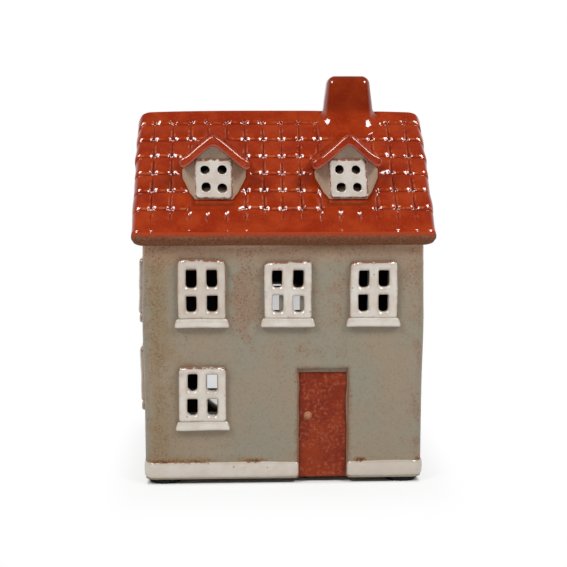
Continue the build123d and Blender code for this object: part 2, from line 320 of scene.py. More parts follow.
def wall_glaze(name="grey_wall_glaze", painted_fill=0.0):
    """Satin grey glaze with fine dark specks, breaking to rust and ochre where it ran thin.

    painted_fill is the share of a pale warm colour mixed in: painted light that lifts walls lying in shade.
    """
    glaze = Glaze(name, IOR=1.5)
    broad = glaze.cloud(26.0, 4.0)
    colour = glaze.mix(glaze.ramp(broad, 0.35, 0.66), tone(141, 135, 118), tone(149, 133, 112))
    rust = glaze.ramp(glaze.ragged(glaze.mark("rust"), glaze.cloud(7.0, 6.0, 0.65), 0.35), 0.12, 0.75)
    rust = glaze.broken(rust, glaze.cloud(0.7, 4.0, 0.7), 0.34, 0.62, 0.35, 1.0)
    colour = glaze.mix(rust, colour, tone(141, 110, 86))
    tint = glaze.ragged(glaze.mark("ochre"), glaze.cloud(9.0, 5.0, 0.6), 0.25)
    colour = glaze.mix(glaze.ramp(tint, 0.1, 0.8, 0.0, 0.8), colour, tone(141, 120, 90))
    ochre = glaze.ramp(glaze.ragged(glaze.mark("ochre"), glaze.cloud(4.0, 6.0, 0.65), 0.4), 0.25, 0.9)
    ochre = glaze.broken(ochre, glaze.cloud(0.7, 4.0, 0.7), 0.46, 0.64, 0.05, 0.9)
    colour = glaze.mix(ochre, colour, tone(118, 84, 44))
    # Painted light under the eave: the wall is mixed towards a pale warm colour; its warmth follows the real
    # rust band there, its lightness stands in for light that the eave's shadow takes away.
    warm = glaze.broken(glaze.mark("eave"), glaze.cloud(1.2, 4.0), 0.3, 0.6, 0.5, 1.0)
    colour = glaze.mix(warm, colour, tone(190, 148, 116))
    colour = glaze.mix(glaze.ramp(glaze.cloud(0.9, 4.0, 0.7), 0.5, 0.72, 0.0, 0.5), colour, tone(112, 96, 76))
    colour = glaze.mix(glaze.ramp(glaze.cells(1.7), 0.05, 0.14, 0.34, 0.0), colour, tone(86, 66, 48))
    specks = glaze.broken(glaze.ramp(rust, 0.05, 0.5, 0.12, 0.75), glaze.cells(1.3), 0.1, 0.42, 1.0, 0.0)
    colour = glaze.mix(specks, colour, tone(106, 76, 54))
    # Painted light: a share of pale warm colour lifts the shaded dormer cheeks.
    painted_fill_mix = glaze.ramp(glaze.cloud(0.8, 4.0, 0.7), 0.3, 0.7, 0.6 * painted_fill, painted_fill)
    colour = glaze.mix(painted_fill_mix, colour, tone(222, 192, 164))
    iron = glaze.broken(glaze.mark("iron"), glaze.cloud(1.3, 4.0), 0.34, 0.56, 0.25, 1.0)
    colour = glaze.mix(glaze.ramp(iron, 0.12, 0.4, 0.0, 0.8), colour, tone(138, 92, 46))
    colour = glaze.mix(glaze.ramp(iron, 0.38, 0.8), colour, tone(84, 42, 12))
    # Painted shade: the inside faces of the walls and dormer cheeks are painted dark.
    colour = glaze.mix(glaze.mark("inside_shade"), colour, tone(40, 32, 26))
    rough = glaze.ramp(glaze.cloud(3.0, 3.0), 0.3, 0.7, 0.36, 0.52)
    grain = glaze.bumps(glaze.cloud(0.8, 3.0), 0.05, 0.6)
    waves = glaze.bumps(glaze.cloud(14.0, 2.0), 0.4, 0.5, grain)
    return glaze.done(Base_Color=colour, Roughness=rough, Normal=waves)


def eave_clay():
    """Thin matt red-brown wash on the eave band, with dark and buff grains; redder next to the glaze."""
    clay = Glaze("eave_clay_wash", IOR=1.3)
    grain = clay.ramp(clay.cloud(0.9, 4.0, 0.7), 0.38, 0.64)
    colour = clay.mix(grain, tone(98, 56, 36), tone(132, 88, 62))
    colour = clay.mix(clay.ramp(clay.cloud(6.0, 4.0), 0.35, 0.65, 0.0, 0.5), colour, tone(116, 68, 44))
    fade = clay.ragged(clay.mark("bare"), clay.cloud(1.8, 4.0), 0.08)
    colour = clay.mix(clay.ramp(fade, 0.12, 0.8, 1.0, 0.0), colour, tone(158, 54, 20))
    rough = clay.ramp(clay.cloud(2.0, 3.0), 0.3, 0.7, 0.6, 0.8)
    return clay.done(Base_Color=colour, Roughness=rough, Normal=clay.bumps(clay.cloud(0.8, 3.0), 0.06, 0.6))


red_roof = roof_glaze()
grey_wall = wall_glaze()
# Painted light: the dormer cheeks get a lighter copy of the wall glaze to lift their shade.
dormer_wall = wall_glaze("lightened_wall_glaze", 0.5)
eave_wash = eave_clay()


# Roof: the section of both slopes carried from verge to verge, with the tiles pressed into its outside
def dormer_rise(x, y):
    """How far a dormer roof's leaves stand above the main slope, square to it; far below away from them."""
    gap = np.full(np.broadcast(x, y).shape, -99.0)
    plane = RIDGE - np.abs(y) * tan(PITCH)
    for middle in DORMERS.values():
        across = np.sqrt((x - middle) ** 2 + 1.2)
        leaf = (DORMER_RIDGE - across * tan(DORMER_PITCH) - plane) * cos(PITCH)
        near = (y < 0.0) & (y > DORMER_FRONT + 1.0) & (across < DORMER_HALF)
        gap = np.where(near, np.maximum(gap, leaf), gap)
    return gap


def clay_blend(gap):
    """Extra height of a soft join between two surfaces that lie gap apart: (k - |gap|)^2 / 4k within k."""
    return np.clip(CLAY_FILLET - np.abs(gap), 0.0, None) ** 2 / (4.0 * CLAY_FILLET)


def dormer_reach(x, y):
    """Distance outside the nearer dormer's outline on the slope, negative within it."""
    near = np.full(np.broadcast(x, y).shape, 99.0)
    for middle in DORMERS.values():
        side = np.abs(x - middle) - np.interp(y, *DORMER_CHEEK)
        near = np.minimum(near, np.maximum(side, np.maximum(-37.0 - y, y + 10.0 + np.abs(x - middle) * 0.84)))
    return near


def smoothed_clay(x, y):
    """1 on open tiles, 0 where the clay was smoothed over round the dormers and the chimney."""
    keep = eased(0.4, 3.2, dormer_reach(x, y))
    stack = np.maximum(np.abs(x - CHIMNEY_X) - CHIMNEY_HALF[0], np.abs(y) - CHIMNEY_HALF[1])
    return np.minimum(keep, eased(1.0, 4.5, stack))


def tile_relief(along, across, seed):
    """Tiles on one slope: each rises to its lip and ends there in a rounded edge, over grooved sides.

    along is the way down the slope, across the way over the house. With v and w the distances from a
    tile's lip and side as shares of their rounding, and q the length of (1 - v, 1 - w), the surface
    lies a step times q^2 below the tile's own ramp.
    """
    ends = np.append(LIPS, SLOPE + 6.0)
    row = np.minimum(np.searchsorted(LIPS, along, side="left"), len(LIPS))
    start = np.where(row > 0, ends[row - 1], 0.0)
    column = np.clip(np.floor(across / COLUMN + COLUMNS / 2), 0, COLUMNS - 1).astype(int)
    middle = (column - COLUMNS / 2 + 0.5) * COLUMN
    half = np.abs(across - middle)
    draw = np.random.default_rng(seed)
    lift = draw.uniform(-0.14, 0.12, (len(ends), COLUMNS))[row, column]
    lean = draw.normal(0.0, 0.05, (len(ends), COLUMNS))[row, column]
    length = np.where(row < len(LIPS), ends[row] - start, SLOPE - start)
    slant = np.where(row > 0, -TILE_RAMP * (1.0 - np.clip((along - start) / length, 0.0, 1.0)), 0.0)
    soft = draw.uniform(0.7, 1.15, (len(ends), COLUMNS))[row, column]
    lip = np.clip((ends[row] - along) / (LIP_ROUND * soft), 0.0, 1.0)
    outer = (column == 0) & (across < middle) | (column == COLUMNS - 1) & (across > middle)
    side = np.where(outer, 1.0, np.clip((COLUMN / 2 - half) / (GROOVE_ROUND * soft), 0.0, 1.0))
    q = np.minimum(np.hypot(1.0 - lip, 1.0 - side), 1.0)
    ridge = eased(2.0, 7.0, along)
    fade = np.where(row > 0, eased(-0.5, 3.0, along - start), 0.45 * ridge)
    fade = fade * (1.0 - 0.85 * eased(LIPS[-1] + 2.0, LIPS[-1] + 7.0, along))
    drop = np.where(1.0 - lip > 1.0 - side, LIP_DROP, GROOVE_DROP * fade)
    crown = TILE_CROWN * (1.0 - (half / (COLUMN / 2)) ** 2) * fade
    loose = (lift + lean * (across - middle)) * np.minimum(lip, side) * ridge
    height = slant + crown - drop * q * q + loose
    edge = np.clip(1.0 - np.abs(q - 0.7) / 0.24, 0.0, 1.0) * np.maximum(fade, 1.0 - lip)
    # Dark in the grooves and under the lips: partly pooled glaze, partly painted shade.
    dark_glaze_and_shade = np.clip((q - 0.84) / 0.16, 0.0, 1.0) * np.maximum(fade, 0.7 * (1.0 - lip))
    return height, edge, dark_glaze_and_shade


def tile_spread(along, across, seed):
    """Small shifts of each tile down and across the slope, even within a tile and joined in the grooves."""
    draw = np.random.default_rng(seed)
    joints = (np.arange(COLUMNS + 1) - COLUMNS / 2) * COLUMN
    knots = np.ravel(np.stack([joints[:-1] + 1.4, joints[1:] - 1.4], 1))
    ends = np.concatenate([[0.0], LIPS, [SLOPE]])
    down = np.zeros(along.shape)
    over = np.zeros(along.shape)
    for number in range(len(ends)):
        reach = np.interp(along, ends, np.eye(len(ends))[number])
        free = 0.0 if number in (0, len(ends) - 1) else 1.0
        down += free * reach * np.interp(across, knots, np.repeat(draw.normal(0.0, 0.22, COLUMNS), 2))
        over += reach * np.interp(across, joints[1:-1], draw.normal(0.0, 0.2, COLUMNS - 1), 0.0, 0.0)
    return down, over


def roof_section(along):
    """Point and outward direction, as (y, z), of a slope's outside at a way down it from the ridge."""
    turn = RIDGE_ROUND * tan(PITCH)
    angle = np.clip(along / turn, 0.0, 1.0) * PITCH
    axis = RIDGE - RIDGE_ROUND / cos(PITCH)
    bend = np.stack([RIDGE_ROUND * np.sin(angle), axis + RIDGE_ROUND * np.cos(angle)], -1)
    line = np.stack([along * cos(PITCH), RIDGE - along * sin(PITCH)], -1)
    facing = np.stack([np.sin(angle), np.cos(angle)], -1)
    return np.where((along < turn)[..., None], bend, line), facing


def wash_eaves(mesh):
    """Gives the matt wash to the faces low on the roof that lie wholly in the bare band."""
    mesh.materials.append(eave_wash)
    bare = np.zeros(len(mesh.vertices), np.float32)
    mesh.attributes["bare"].data.foreach_get("value", bare)
    corner = np.zeros(len(mesh.loops), int)
    mesh.loops.foreach_get("vertex_index", corner)
    start = np.zeros(len(mesh.polygons), int)
    mesh.polygons.foreach_get("loop_start", start)
    spots = np.zeros(3 * len(mesh.vertices), np.float32)
    mesh.vertices.foreach_get("co", spots)
    low = spots[2::3][corner] < EAVE_HIGH * MM
    washed = np.minimum.reduceat(bare[corner] * low, start) > 0.03
    mesh.polygons.foreach_set("material_index", washed.astype(int))


def roof_piece():
    """Both slopes and their eaves: outside, rounded eave, eave band and underside, in one loop at each x."""
    near_lip = [-3.2, -2.4, -2.0, -1.65, -1.3, -1.0, -0.72, -0.5, -0.3, -0.15, -0.04, 0.04, 0.3, 0.8]
    near_lip = np.array(near_lip)
    spans = [np.array([0.0, 0.5, 1.0, 1.5, 2.0, 2.6, 3.4])]
    spans += [lip + near_lip for lip in LIPS]
    spans += [lip + np.array([2.0, 3.4, 4.9]) for lip in LIPS]
    spans += [np.array([61.6, 62.8, 63.9, 64.9, 65.8, 66.4])]
    down = np.unique(np.concatenate(spans))
    tile = np.array([0.03, 0.13, 0.3, 0.52, 0.8, 1.12, 1.5, 1.95, 2.7])
    tile = np.concatenate([tile, [COLUMN / 2], COLUMN - tile[::-1]])
    over = np.concatenate([column * COLUMN + tile for column in range(COLUMNS)]) - VERGE
    over = over[np.abs(over) < VERGE - VERGE_ROUND]
    swing = np.linspace(0.0, pi / 2, 9)[1:]
    end = VERGE - VERGE_ROUND + VERGE_ROUND * np.sin(swing)
    across = np.concatenate([-end[::-1], over, end])
    fall = VERGE_ROUND * (1 - np.cos(swing))
    inset = np.concatenate([fall[::-1], 0.0 * over, fall])

    def slope_skin(way):
        """One slope from the ridge to its eave, around it, and back under to the ridge."""
        along, x = np.meshgrid(down, across, indexing="ij")
        height, edge, dark_glaze_and_shade = tile_relief(along, np.clip(x, -VERGE, VERGE), 40 + way)
        shift, aside = tile_spread(along, x, 60 + way)
        along = along + shift
        point, facing = roof_section(along)
        y = way * point[..., 0]
        keep = smoothed_clay(x, y)
        height = keep * height - (1.0 - keep) * 0.1
        extra = clay_blend(dormer_rise(x, y) - height)
        sag = RIDGE_SAG * np.abs(x / VERGE) ** 3 * np.exp(-along / 14.0)
        height = height + extra - sag
        edge = edge * keep
        dark_glaze_and_shade = dark_glaze_and_shade * keep
        upright = 1.0 - eased(20.0, 50.0, along)
        past = np.clip(np.abs(x) - VERGE + CORNER_ROUND, 0.0, CORNER_ROUND)
        corner = CORNER_ROUND - np.sqrt(CORNER_ROUND**2 - past * past)
        corner = 0.55 * corner * bell(along, 0.0, 9.0)
        point = point + (height - inset * (1.0 - upright))[..., None] * facing
        point[..., 1] -= inset * upright / cos(PITCH) + corner
        top = np.stack([x + aside * (inset == 0.0), way * point[..., 0], point[..., 1]], -1)
        bare = 0.62 * bell(dormer_reach(x, y), 0.0, 0.9) * eased(-18.0, -27.0, y)
        # Painted shade: the slope inside each dormer, under its roof, is marked to be painted near black.
        inside_shade = np.zeros(top.shape[:2])
        for middle in DORMERS.values():
            cheek = np.interp(y, *DORMER_CHEEK) - 2.2
            hollow = (np.abs(x - middle) < cheek) & (y > DORMER_FACE + 1.0) & (dormer_rise(x, y) > 1.5)
            inside_shade = np.maximum(inside_shade, hollow)
        return top, edge, dark_glaze_and_shade, bare, inside_shade

    def eave_skin(way, relief):
        """The rounded eave, its square band and the underside; relief is the last row's height there."""
        turn = np.linspace(0.0, pi / 2, 9)[1:]
        tangent = np.array([cos(PITCH), -sin(PITCH)])
        outward = np.array([sin(PITCH), cos(PITCH)])
        corner = np.array([0.0, RIDGE]) + tangent * (SLOPE - EAVE_ROUND) - outward * EAVE_ROUND
        curl = corner + EAVE_ROUND * (np.sin(turn)[:, None] * tangent + np.cos(turn)[:, None] * outward)
        curl_way = np.sin(turn)[:, None] * tangent + np.cos(turn)[:, None] * outward
        low = np.array([0.0, RIDGE]) + tangent * (SLOPE - UNDER_ROUND) - outward * (ROOF_THICK - UNDER_ROUND)
        foot_way = np.cos(turn)[:, None] * tangent - np.sin(turn)[:, None] * outward
        foot = np.concatenate([[low + UNDER_ROUND * tangent], low + UNDER_ROUND * foot_way])
        under = np.array([0.0, RIDGE]) - outward * ROOF_THICK
        back = SLOPE - UNDER_ROUND - np.array([2.0, 4.0, 8.0, 20.0, 40.0, 58.0])
        back = under + back[:, None] * tangent
        section = np.concatenate([curl, foot, back, [[0.0, RIDGE - ROOF_THICK / cos(PITCH)]]])
        facing = np.concatenate([curl_way, [tangent], foot_way, np.repeat([-outward], len(back) + 1, 0)])
        facing[-1] = (0.0, -1.0)
        share = np.concatenate([np.cos(turn), np.zeros(len(section) - len(turn))])
        lift = share[:, None] * relief - inset * (0.4 + 0.6 * share[:, None])
        shape = section[:, None] + lift[..., None] * facing[:, None]
        depth = np.array([0.0, RIDGE]) @ outward - section @ outward
        low = np.clip((depth - ROOF_THICK + END_ROUND) / END_ROUND, 0.0, 1.0)
        draw_in = END_DRAW * (1.0 - np.sqrt(1.0 - low * low))
        end = np.sign(across) * eased(VERGE - 9.0, VERGE - 0.5, np.abs(across))
        x = across - draw_in[:, None] * end
        skin = np.stack([x, way * shape[..., 0], shape[..., 1]], -1)
        bare = np.concatenate([0.8 * eased(0.25, 1.35, turn), np.ones(len(section) - len(turn))])
        bare[len(turn):len(turn) + 1] = 0.85
        return skin, np.broadcast_to(bare[:, None], lift.shape)

    loops, marks = [], {"edge": [], "dark_glaze_and_shade": [], "bare": [], "inside_shade": []}
    for way in (-1, 1):
        top, edge, dark_glaze_and_shade, bare, inside_shade = slope_skin(way)
        last_row = np.full(len(across), SLOPE - EAVE_ROUND - 0.5)
        relief = tile_relief(last_row, np.clip(across, -VERGE, VERGE), 40 + way)[0]
        eave, band = eave_skin(way, relief)
        none = np.zeros(eave.shape[:2])
        pairs = ((top, eave), (edge, none), (dark_glaze_and_shade, none), (bare, band), (inside_shade, none))
        part = [np.concatenate(pair) for pair in pairs]
        if way < 0:
            part = [layer[::-1] for layer in part]
            part = [layer[1:-1] for layer in part]
        loops.append(part[0])
        for mark, layer in zip(marks, part[1:]):
            marks[mark].append(layer)
    skin = np.concatenate(loops)
    marks = {mark: np.concatenate(layers) for mark, layers in marks.items()}
    scallop = 0.3 * np.sign(across) * eased(VERGE - VERGE_ROUND, VERGE, np.abs(across))
    rows, columns = skin.shape[:2]
    skin[..., 0] += scallop * hand_wobble(skin[..., 1:], 5, 14.0, 1.0)
    faces = grid_faces(rows, columns)
    number = np.arange(rows * columns).reshape(rows, columns)
    seam = np.stack([number[-1, :-1], number[-1, 1:], number[0, 1:], number[0, :-1]], -1)
    caps = [number[:, 0][None], number[::-1, -1][None]]
    made = piece("tiled_roof", skin.reshape(-1, 3), [faces, seam, *caps], red_roof,
                 ["front_roof_slab", "rear_roof_slab"], marks)
    wash_eaves(made.data)


roof_piece()


# Shapes that several pieces share
def loop_normals(loop):
    """Directions square to a closed loop of (a, b) points, from its neighbours on both sides."""
    along = np.roll(loop, -1, 0) - np.roll(loop, 1, 0)
    return np.stack([along[:, 1], -along[:, 0]], -1) / np.linalg.norm(along, axis=1, keepdims=True)


def rounded_loop(half_a, half_b, corner, count=6):
    """A rectangle with round corners as a closed loop, anticlockwise from the right side's foot."""
    turn = np.linspace(0.0, pi / 2, count)
    arc = np.stack([np.cos(turn), np.sin(turn)], -1) * corner
    middle = np.array([half_a - corner, half_b - corner])
    quarter = [middle + arc]
    quarter.append(np.array([-middle[0], middle[1]]) + np.stack([-arc[:, 1], arc[:, 0]], -1))
    quarter.append(-middle - arc)
    quarter.append(np.array([middle[0], -middle[1]]) + np.stack([arc[:, 1], -arc[:, 0]], -1))
    return np.concatenate(quarter)


def end_rounding(radius, count=7):
    """Way along and inset of a rounded end: radius times sine and one less cosine of a quarter turn."""
    swing = np.linspace(0.0, pi / 2, count)
    return radius * np.sin(swing), radius * (1.0 - np.cos(swing))


def quarter_fall(radius, near):
    """How far a quarter-round edge of this radius lies below its face, at a way in from the edge."""
    past = np.clip(radius - near, 0.0, radius)
    return radius - np.sqrt(np.clip(radius**2 - past**2, 0.0, None))


def soft_bar(loop, half_length, radius):
    """A loop carried along a straight line, with both ends rounded over; gives (a, b, along) and faces."""
    reach, inset = end_rounding(radius)
    middle = np.linspace(-1.0, 1.0, 15)[1:-1] * (half_length - radius)
    along = np.concatenate([-(half_length - radius) - reach[::-1], middle, half_length - radius + reach])
    inset = np.concatenate([inset[::-1], 0.0 * middle, inset])
    facing = loop_normals(loop)
    facing *= np.sign(np.sum(facing * (loop - loop.mean(0)), 1).sum())
    skin = loop[None] - inset[:, None, None] * facing[None]
    flat = loop.mean(0) + 0.6 * (skin[0] - loop.mean(0))
    skin = np.concatenate([flat[None], skin, flat[None]])
    along = np.concatenate([along[:1], along, along[-1:]])
    skin = np.concatenate([skin, np.broadcast_to(along[:, None, None], (*skin.shape[:2], 1))], -1)
    return skin.reshape(-1, 3), tube_faces(*skin.shape[:2])


def turned(profile, count=48):
    """A profile of (radius, height) turned round the upright axis; its ends lie on the axis."""
    angle = np.linspace(0.0, 2.0 * pi, count, endpoint=False)
    ring = np.stack([np.cos(angle), np.sin(angle)], -1)
    height = np.broadcast_to(profile[:, None, 1:], (len(profile), count, 1))
    skin = np.concatenate([profile[:, None, :1] * ring[None], height], -1)
    return skin, [grid_faces(len(profile), count, True)]


# Walls: an outer and an inner skin wrapped round the house, with the window holes, door rebate and rear arch
PANES = (4.2, 6.8)
PANE_SPACING = (8.2, 10.0)
PLAQUE = (19.5, 22.4)
UPPER_SILL = 65.0
FRONT_LOWER_SILL = 22.7
SIDE_LOWER_SILL = 28.0
PLAQUE_PROUD = {"front": 2.3, "left": 2.3, "right": 1.9}
PLAQUE_ROUNDS = (1.7, 0.5, 1.6, 1.5)
SILL = (22.5, 3.7)
SILL_PROUD = {"front": 2.5, "left": 1.9, "right": 1.7}
SILL_SINK = 0.6
SILL_ROUND = 0.95
SILL_LIFT = 0.35
SILL_TAPER = 0.085
FRONT_WINDOWS = {
    "front_upper_left": (-33.1, UPPER_SILL),
    "front_upper_middle": (1.5, UPPER_SILL),
    "front_upper_right": (36.1, UPPER_SILL),
    "front_lower_left": (-33.1, FRONT_LOWER_SILL),
}
SIDE_WINDOWS = {
    "upper_front": (-17.3, UPPER_SILL),
    "upper_rear": (17.3, UPPER_SILL),
    "lower_front": (-17.3, SIDE_LOWER_SILL),
    "lower_rear": (17.3, SIDE_LOWER_SILL),
}
DOOR_X = 15.95
DOOR_HALF = 10.05
DOOR_TOP = 47.3
DOOR_REBATE = 2.3
DOOR_FACE = 2.0
DOOR_BACK = 3.6
DOOR_GAP = 1.0
DOOR_ROUND = 1.2
KNOB_ASIDE = 3.9
KNOB_HIGH = 28.0
ARCH_HALF = 35.0
ARCH_BASE = 12.8
ARCH_SPRING = 37.2
ARCH_CORNER = 12.7
ARCH_PATCH = (45.0, 84.0)
WALL_TOP = 98.5
WALL_STEP = 2.4
NARROW_HOLES = ((4, 1.5), (6, 1.3), (14, 0.5), (15, 0.5))

# Marks in the wall's glaze: stretches with ochre over the plinth, and spots as (along, up, half width, half
# height, share); the iron spots all lie over the plinth and give no height
SEAMS = ((-55.0, -29.0), (-17.0, -8.0), (29.0, 33.0))
RUST_SPOTS = (
    (-16.0, 76.0, 7.0, 14.0, 0.85),
    (19.0, 78.0, 6.0, 12.0, 0.42),
    (-50.0, 92.0, 7.0, 6.0, 0.4),
    (-45.0, 48.0, 10.0, 12.0, 0.22),
    (51.0, 86.0, 4.0, 12.0, 0.4),
    (8.0, 56.0, 14.0, 6.0, 0.3),
)
IRON_SPOTS = (
    (31.0, 2.6, 1.1, 1.0),
    (56.4, 2.4, 1.2, 1.0),
    (-37.0, 5.0, 0.8, 0.86),
    (-49.0, 6.0, 0.9, 0.95),
    (-12.5, 3.4, 0.9, 0.95),
)


def wall_swell(z):
    """How far the gable walls belly out between the floors: a bell curve of the height."""
    return 0.5 * bell(z, 66.0, 17.0)


def pane_holes(windows, cut_short=()):
    """Low and high corners of the square holes behind a wall's panes, along the wall and up it.

    cut_short names holes by number, each with how much narrower it is on its right.
    """
    grid = np.array([(a, b) for a in (-0.5, 0.5) for b in (-0.5, 0.5)]) * PANE_SPACING
    middles = [np.array([u, sill + SILL[1] + PLAQUE[1] / 2]) + grid for u, sill in windows.values()]
    middles = np.concatenate(middles)
    half = np.array(PANES) / 2 + 0.25
    low, high = middles - half, middles + half
    for number, amount in cut_short:
        high[number, 0] -= amount
    return low, high


def filled(stops, step):
    """Sorted stops with even steps put in between them."""
    stops = np.unique(np.round(stops, 4))
    spans = zip(stops[:-1], stops[1:])
    parts = [np.linspace(a, b, int(np.ceil((b - a) / step)), endpoint=False) for a, b in spans]
    return np.concatenate([*parts, stops[-1:]])


def arch_outline(angle):
    """Points of the rear arch's outline in given directions from its middle, found on a fine outline."""
    turn = np.linspace(0.0, pi, 240)
    top = np.stack([ARCH_HALF * np.cos(turn), ARCH_SPRING + ARCH_HALF * np.sin(turn)], -1)
    bend = np.linspace(0.0, pi / 2, 60)
    reach = ARCH_HALF - ARCH_CORNER
    left = np.stack([-reach - ARCH_CORNER * np.cos(bend), ARCH_BASE + ARCH_CORNER * (1 - np.sin(bend))], -1)
    floor = np.stack([np.linspace(-reach, reach, 60)[1:-1], np.full(58, ARCH_BASE)], -1)
    right = np.stack([-left[::-1, 0], left[::-1, 1]], -1)
    line = np.concatenate([top, left, floor, right]) - (0.0, ARCH_SPRING)
    facing = np.unwrap(np.arctan2(line[:, 1], line[:, 0]))
    length = np.hypot(line[:, 0], line[:, 1])
    order = np.argsort(np.mod(facing, 2 * pi))
    reach = np.interp(np.mod(angle, 2 * pi), np.mod(facing, 2 * pi)[order], length[order], period=2 * pi)
    return np.stack([reach * np.cos(angle), ARCH_SPRING + reach * np.sin(angle)], -1)


def arch_patch(outer, inner, up, arch):
    """Rings from the rear arch's outline out to the edge of the cells that the wall's grid leaves out."""
    first, last = np.flatnonzero(arch)[[0, -1]]
    top = int(np.argmin(np.abs(up - ARCH_PATCH[1])))
    last += 1
    span = last - first
    row = np.concatenate([np.zeros(span, int), np.arange(top), np.full(span, top), np.arange(top, 0, -1)])
    turns = (np.arange(first, last), np.full(top, last), np.arange(last, first, -1), np.full(top, first))
    column = np.concatenate(turns)
    away = np.array([0.0, 0.15, 0.4, 0.8, 1.3, 2.0])
    rings = []
    for skin, y_face, sign in ((outer, HALF_DEPTH, -1.0), (inner, HALF_DEPTH - WALL, 1.0)):
        rim = skin[row, column]
        angle = np.arctan2(rim[:, 2] - ARCH_SPRING, rim[:, 0])
        line = arch_outline(angle)
        out = rim[:, ::2] - line
        far = np.linalg.norm(out, axis=1)
        close = np.broadcast_to(away[:, None], (len(away), len(rim)))
        distance = np.concatenate([close, 2.0 + (far - 2.0) * np.linspace(0.0, 1.0, 6)[1:, None]])
        spot = line + distance[..., None] * (out / far[:, None])
        depth = quarter_fall(2.0, distance)
        rings.append(np.stack([spot[..., 0], y_face + sign * depth, spot[..., 1]], -1))
    laid = np.ones((len(rings[0]) - 1, len(row)), bool)
    return thick_sheet(*rings, laid, True, open_top=np.ones(len(row), bool))


def wall_marks(points):
    """Where the glaze breaks to rust and ochre, where iron shows, where light is painted under the eave, and
    which inside faces get painted shade.
    """
    x, y, z = points.T
    # Band under the eave: it adds to the real rust there, and in the glaze it carries painted light.
    eave = bell(z, WALL_TOP, 5.5) * (z < 99.5) * (np.abs(y) > 30.0)
    corner = eased(50.5, 56.0, np.abs(x)) * eased(36.0, 41.0, np.abs(y))
    spots = np.zeros(len(points))
    for u, w, wide, high, amount in RUST_SPOTS:
        spots += amount * bell(x, u, wide) * bell(z, w, high)
    jamb = np.maximum(np.abs(x - DOOR_X) - DOOR_HALF, z - DOOR_TOP)
    border = 0.6 * eased(2.4, 0.6, jamb) * (y < -30.0)
    rust = 0.3 * eave + 0.35 * corner + spots + border
    ends = 0.5 * bell(z, 74.0, 14.0) + 0.45 * bell(z, 16.0, 14.0)
    streak = 0.24 * bell(x, -45.0, 8.0) + (0.5 + ends) * bell(x, -51.0, 3.4)
    foot = 0.45 * bell(z, 10.0, 2.4) * eased(8.0, -24.0, x)
    seam = np.zeros(len(points))
    for start, end in SEAMS:
        seam = np.maximum(seam, eased(start - 1.5, start + 1.0, x) * eased(end + 1.5, end - 1.0, x))
    foot += 0.95 * seam * bell(z, 9.4, 1.0)
    # Painted shade: every inside face of the walls is marked to be painted dark.
    inside = (np.abs(x) < HALF_WIDTH - WALL + 0.01) & (np.abs(y) < HALF_DEPTH - WALL + 0.01)
    iron = np.zeros(len(points))
    for u, wide, high, amount in IRON_SPOTS:
        iron += amount * bell(x, u, wide) * bell(z, 9.7, high) * (y < -36.0)
    return {
        "iron": np.clip(iron, 0.0, 1.0),
        "eave": 0.95 * eave,
        "rust": np.clip(rust, 0.0, 1.0),
        "ochre": np.clip(streak * (y < 0.0) + foot, 0.0, 1.0),
        "inside_shade": inside,
    }


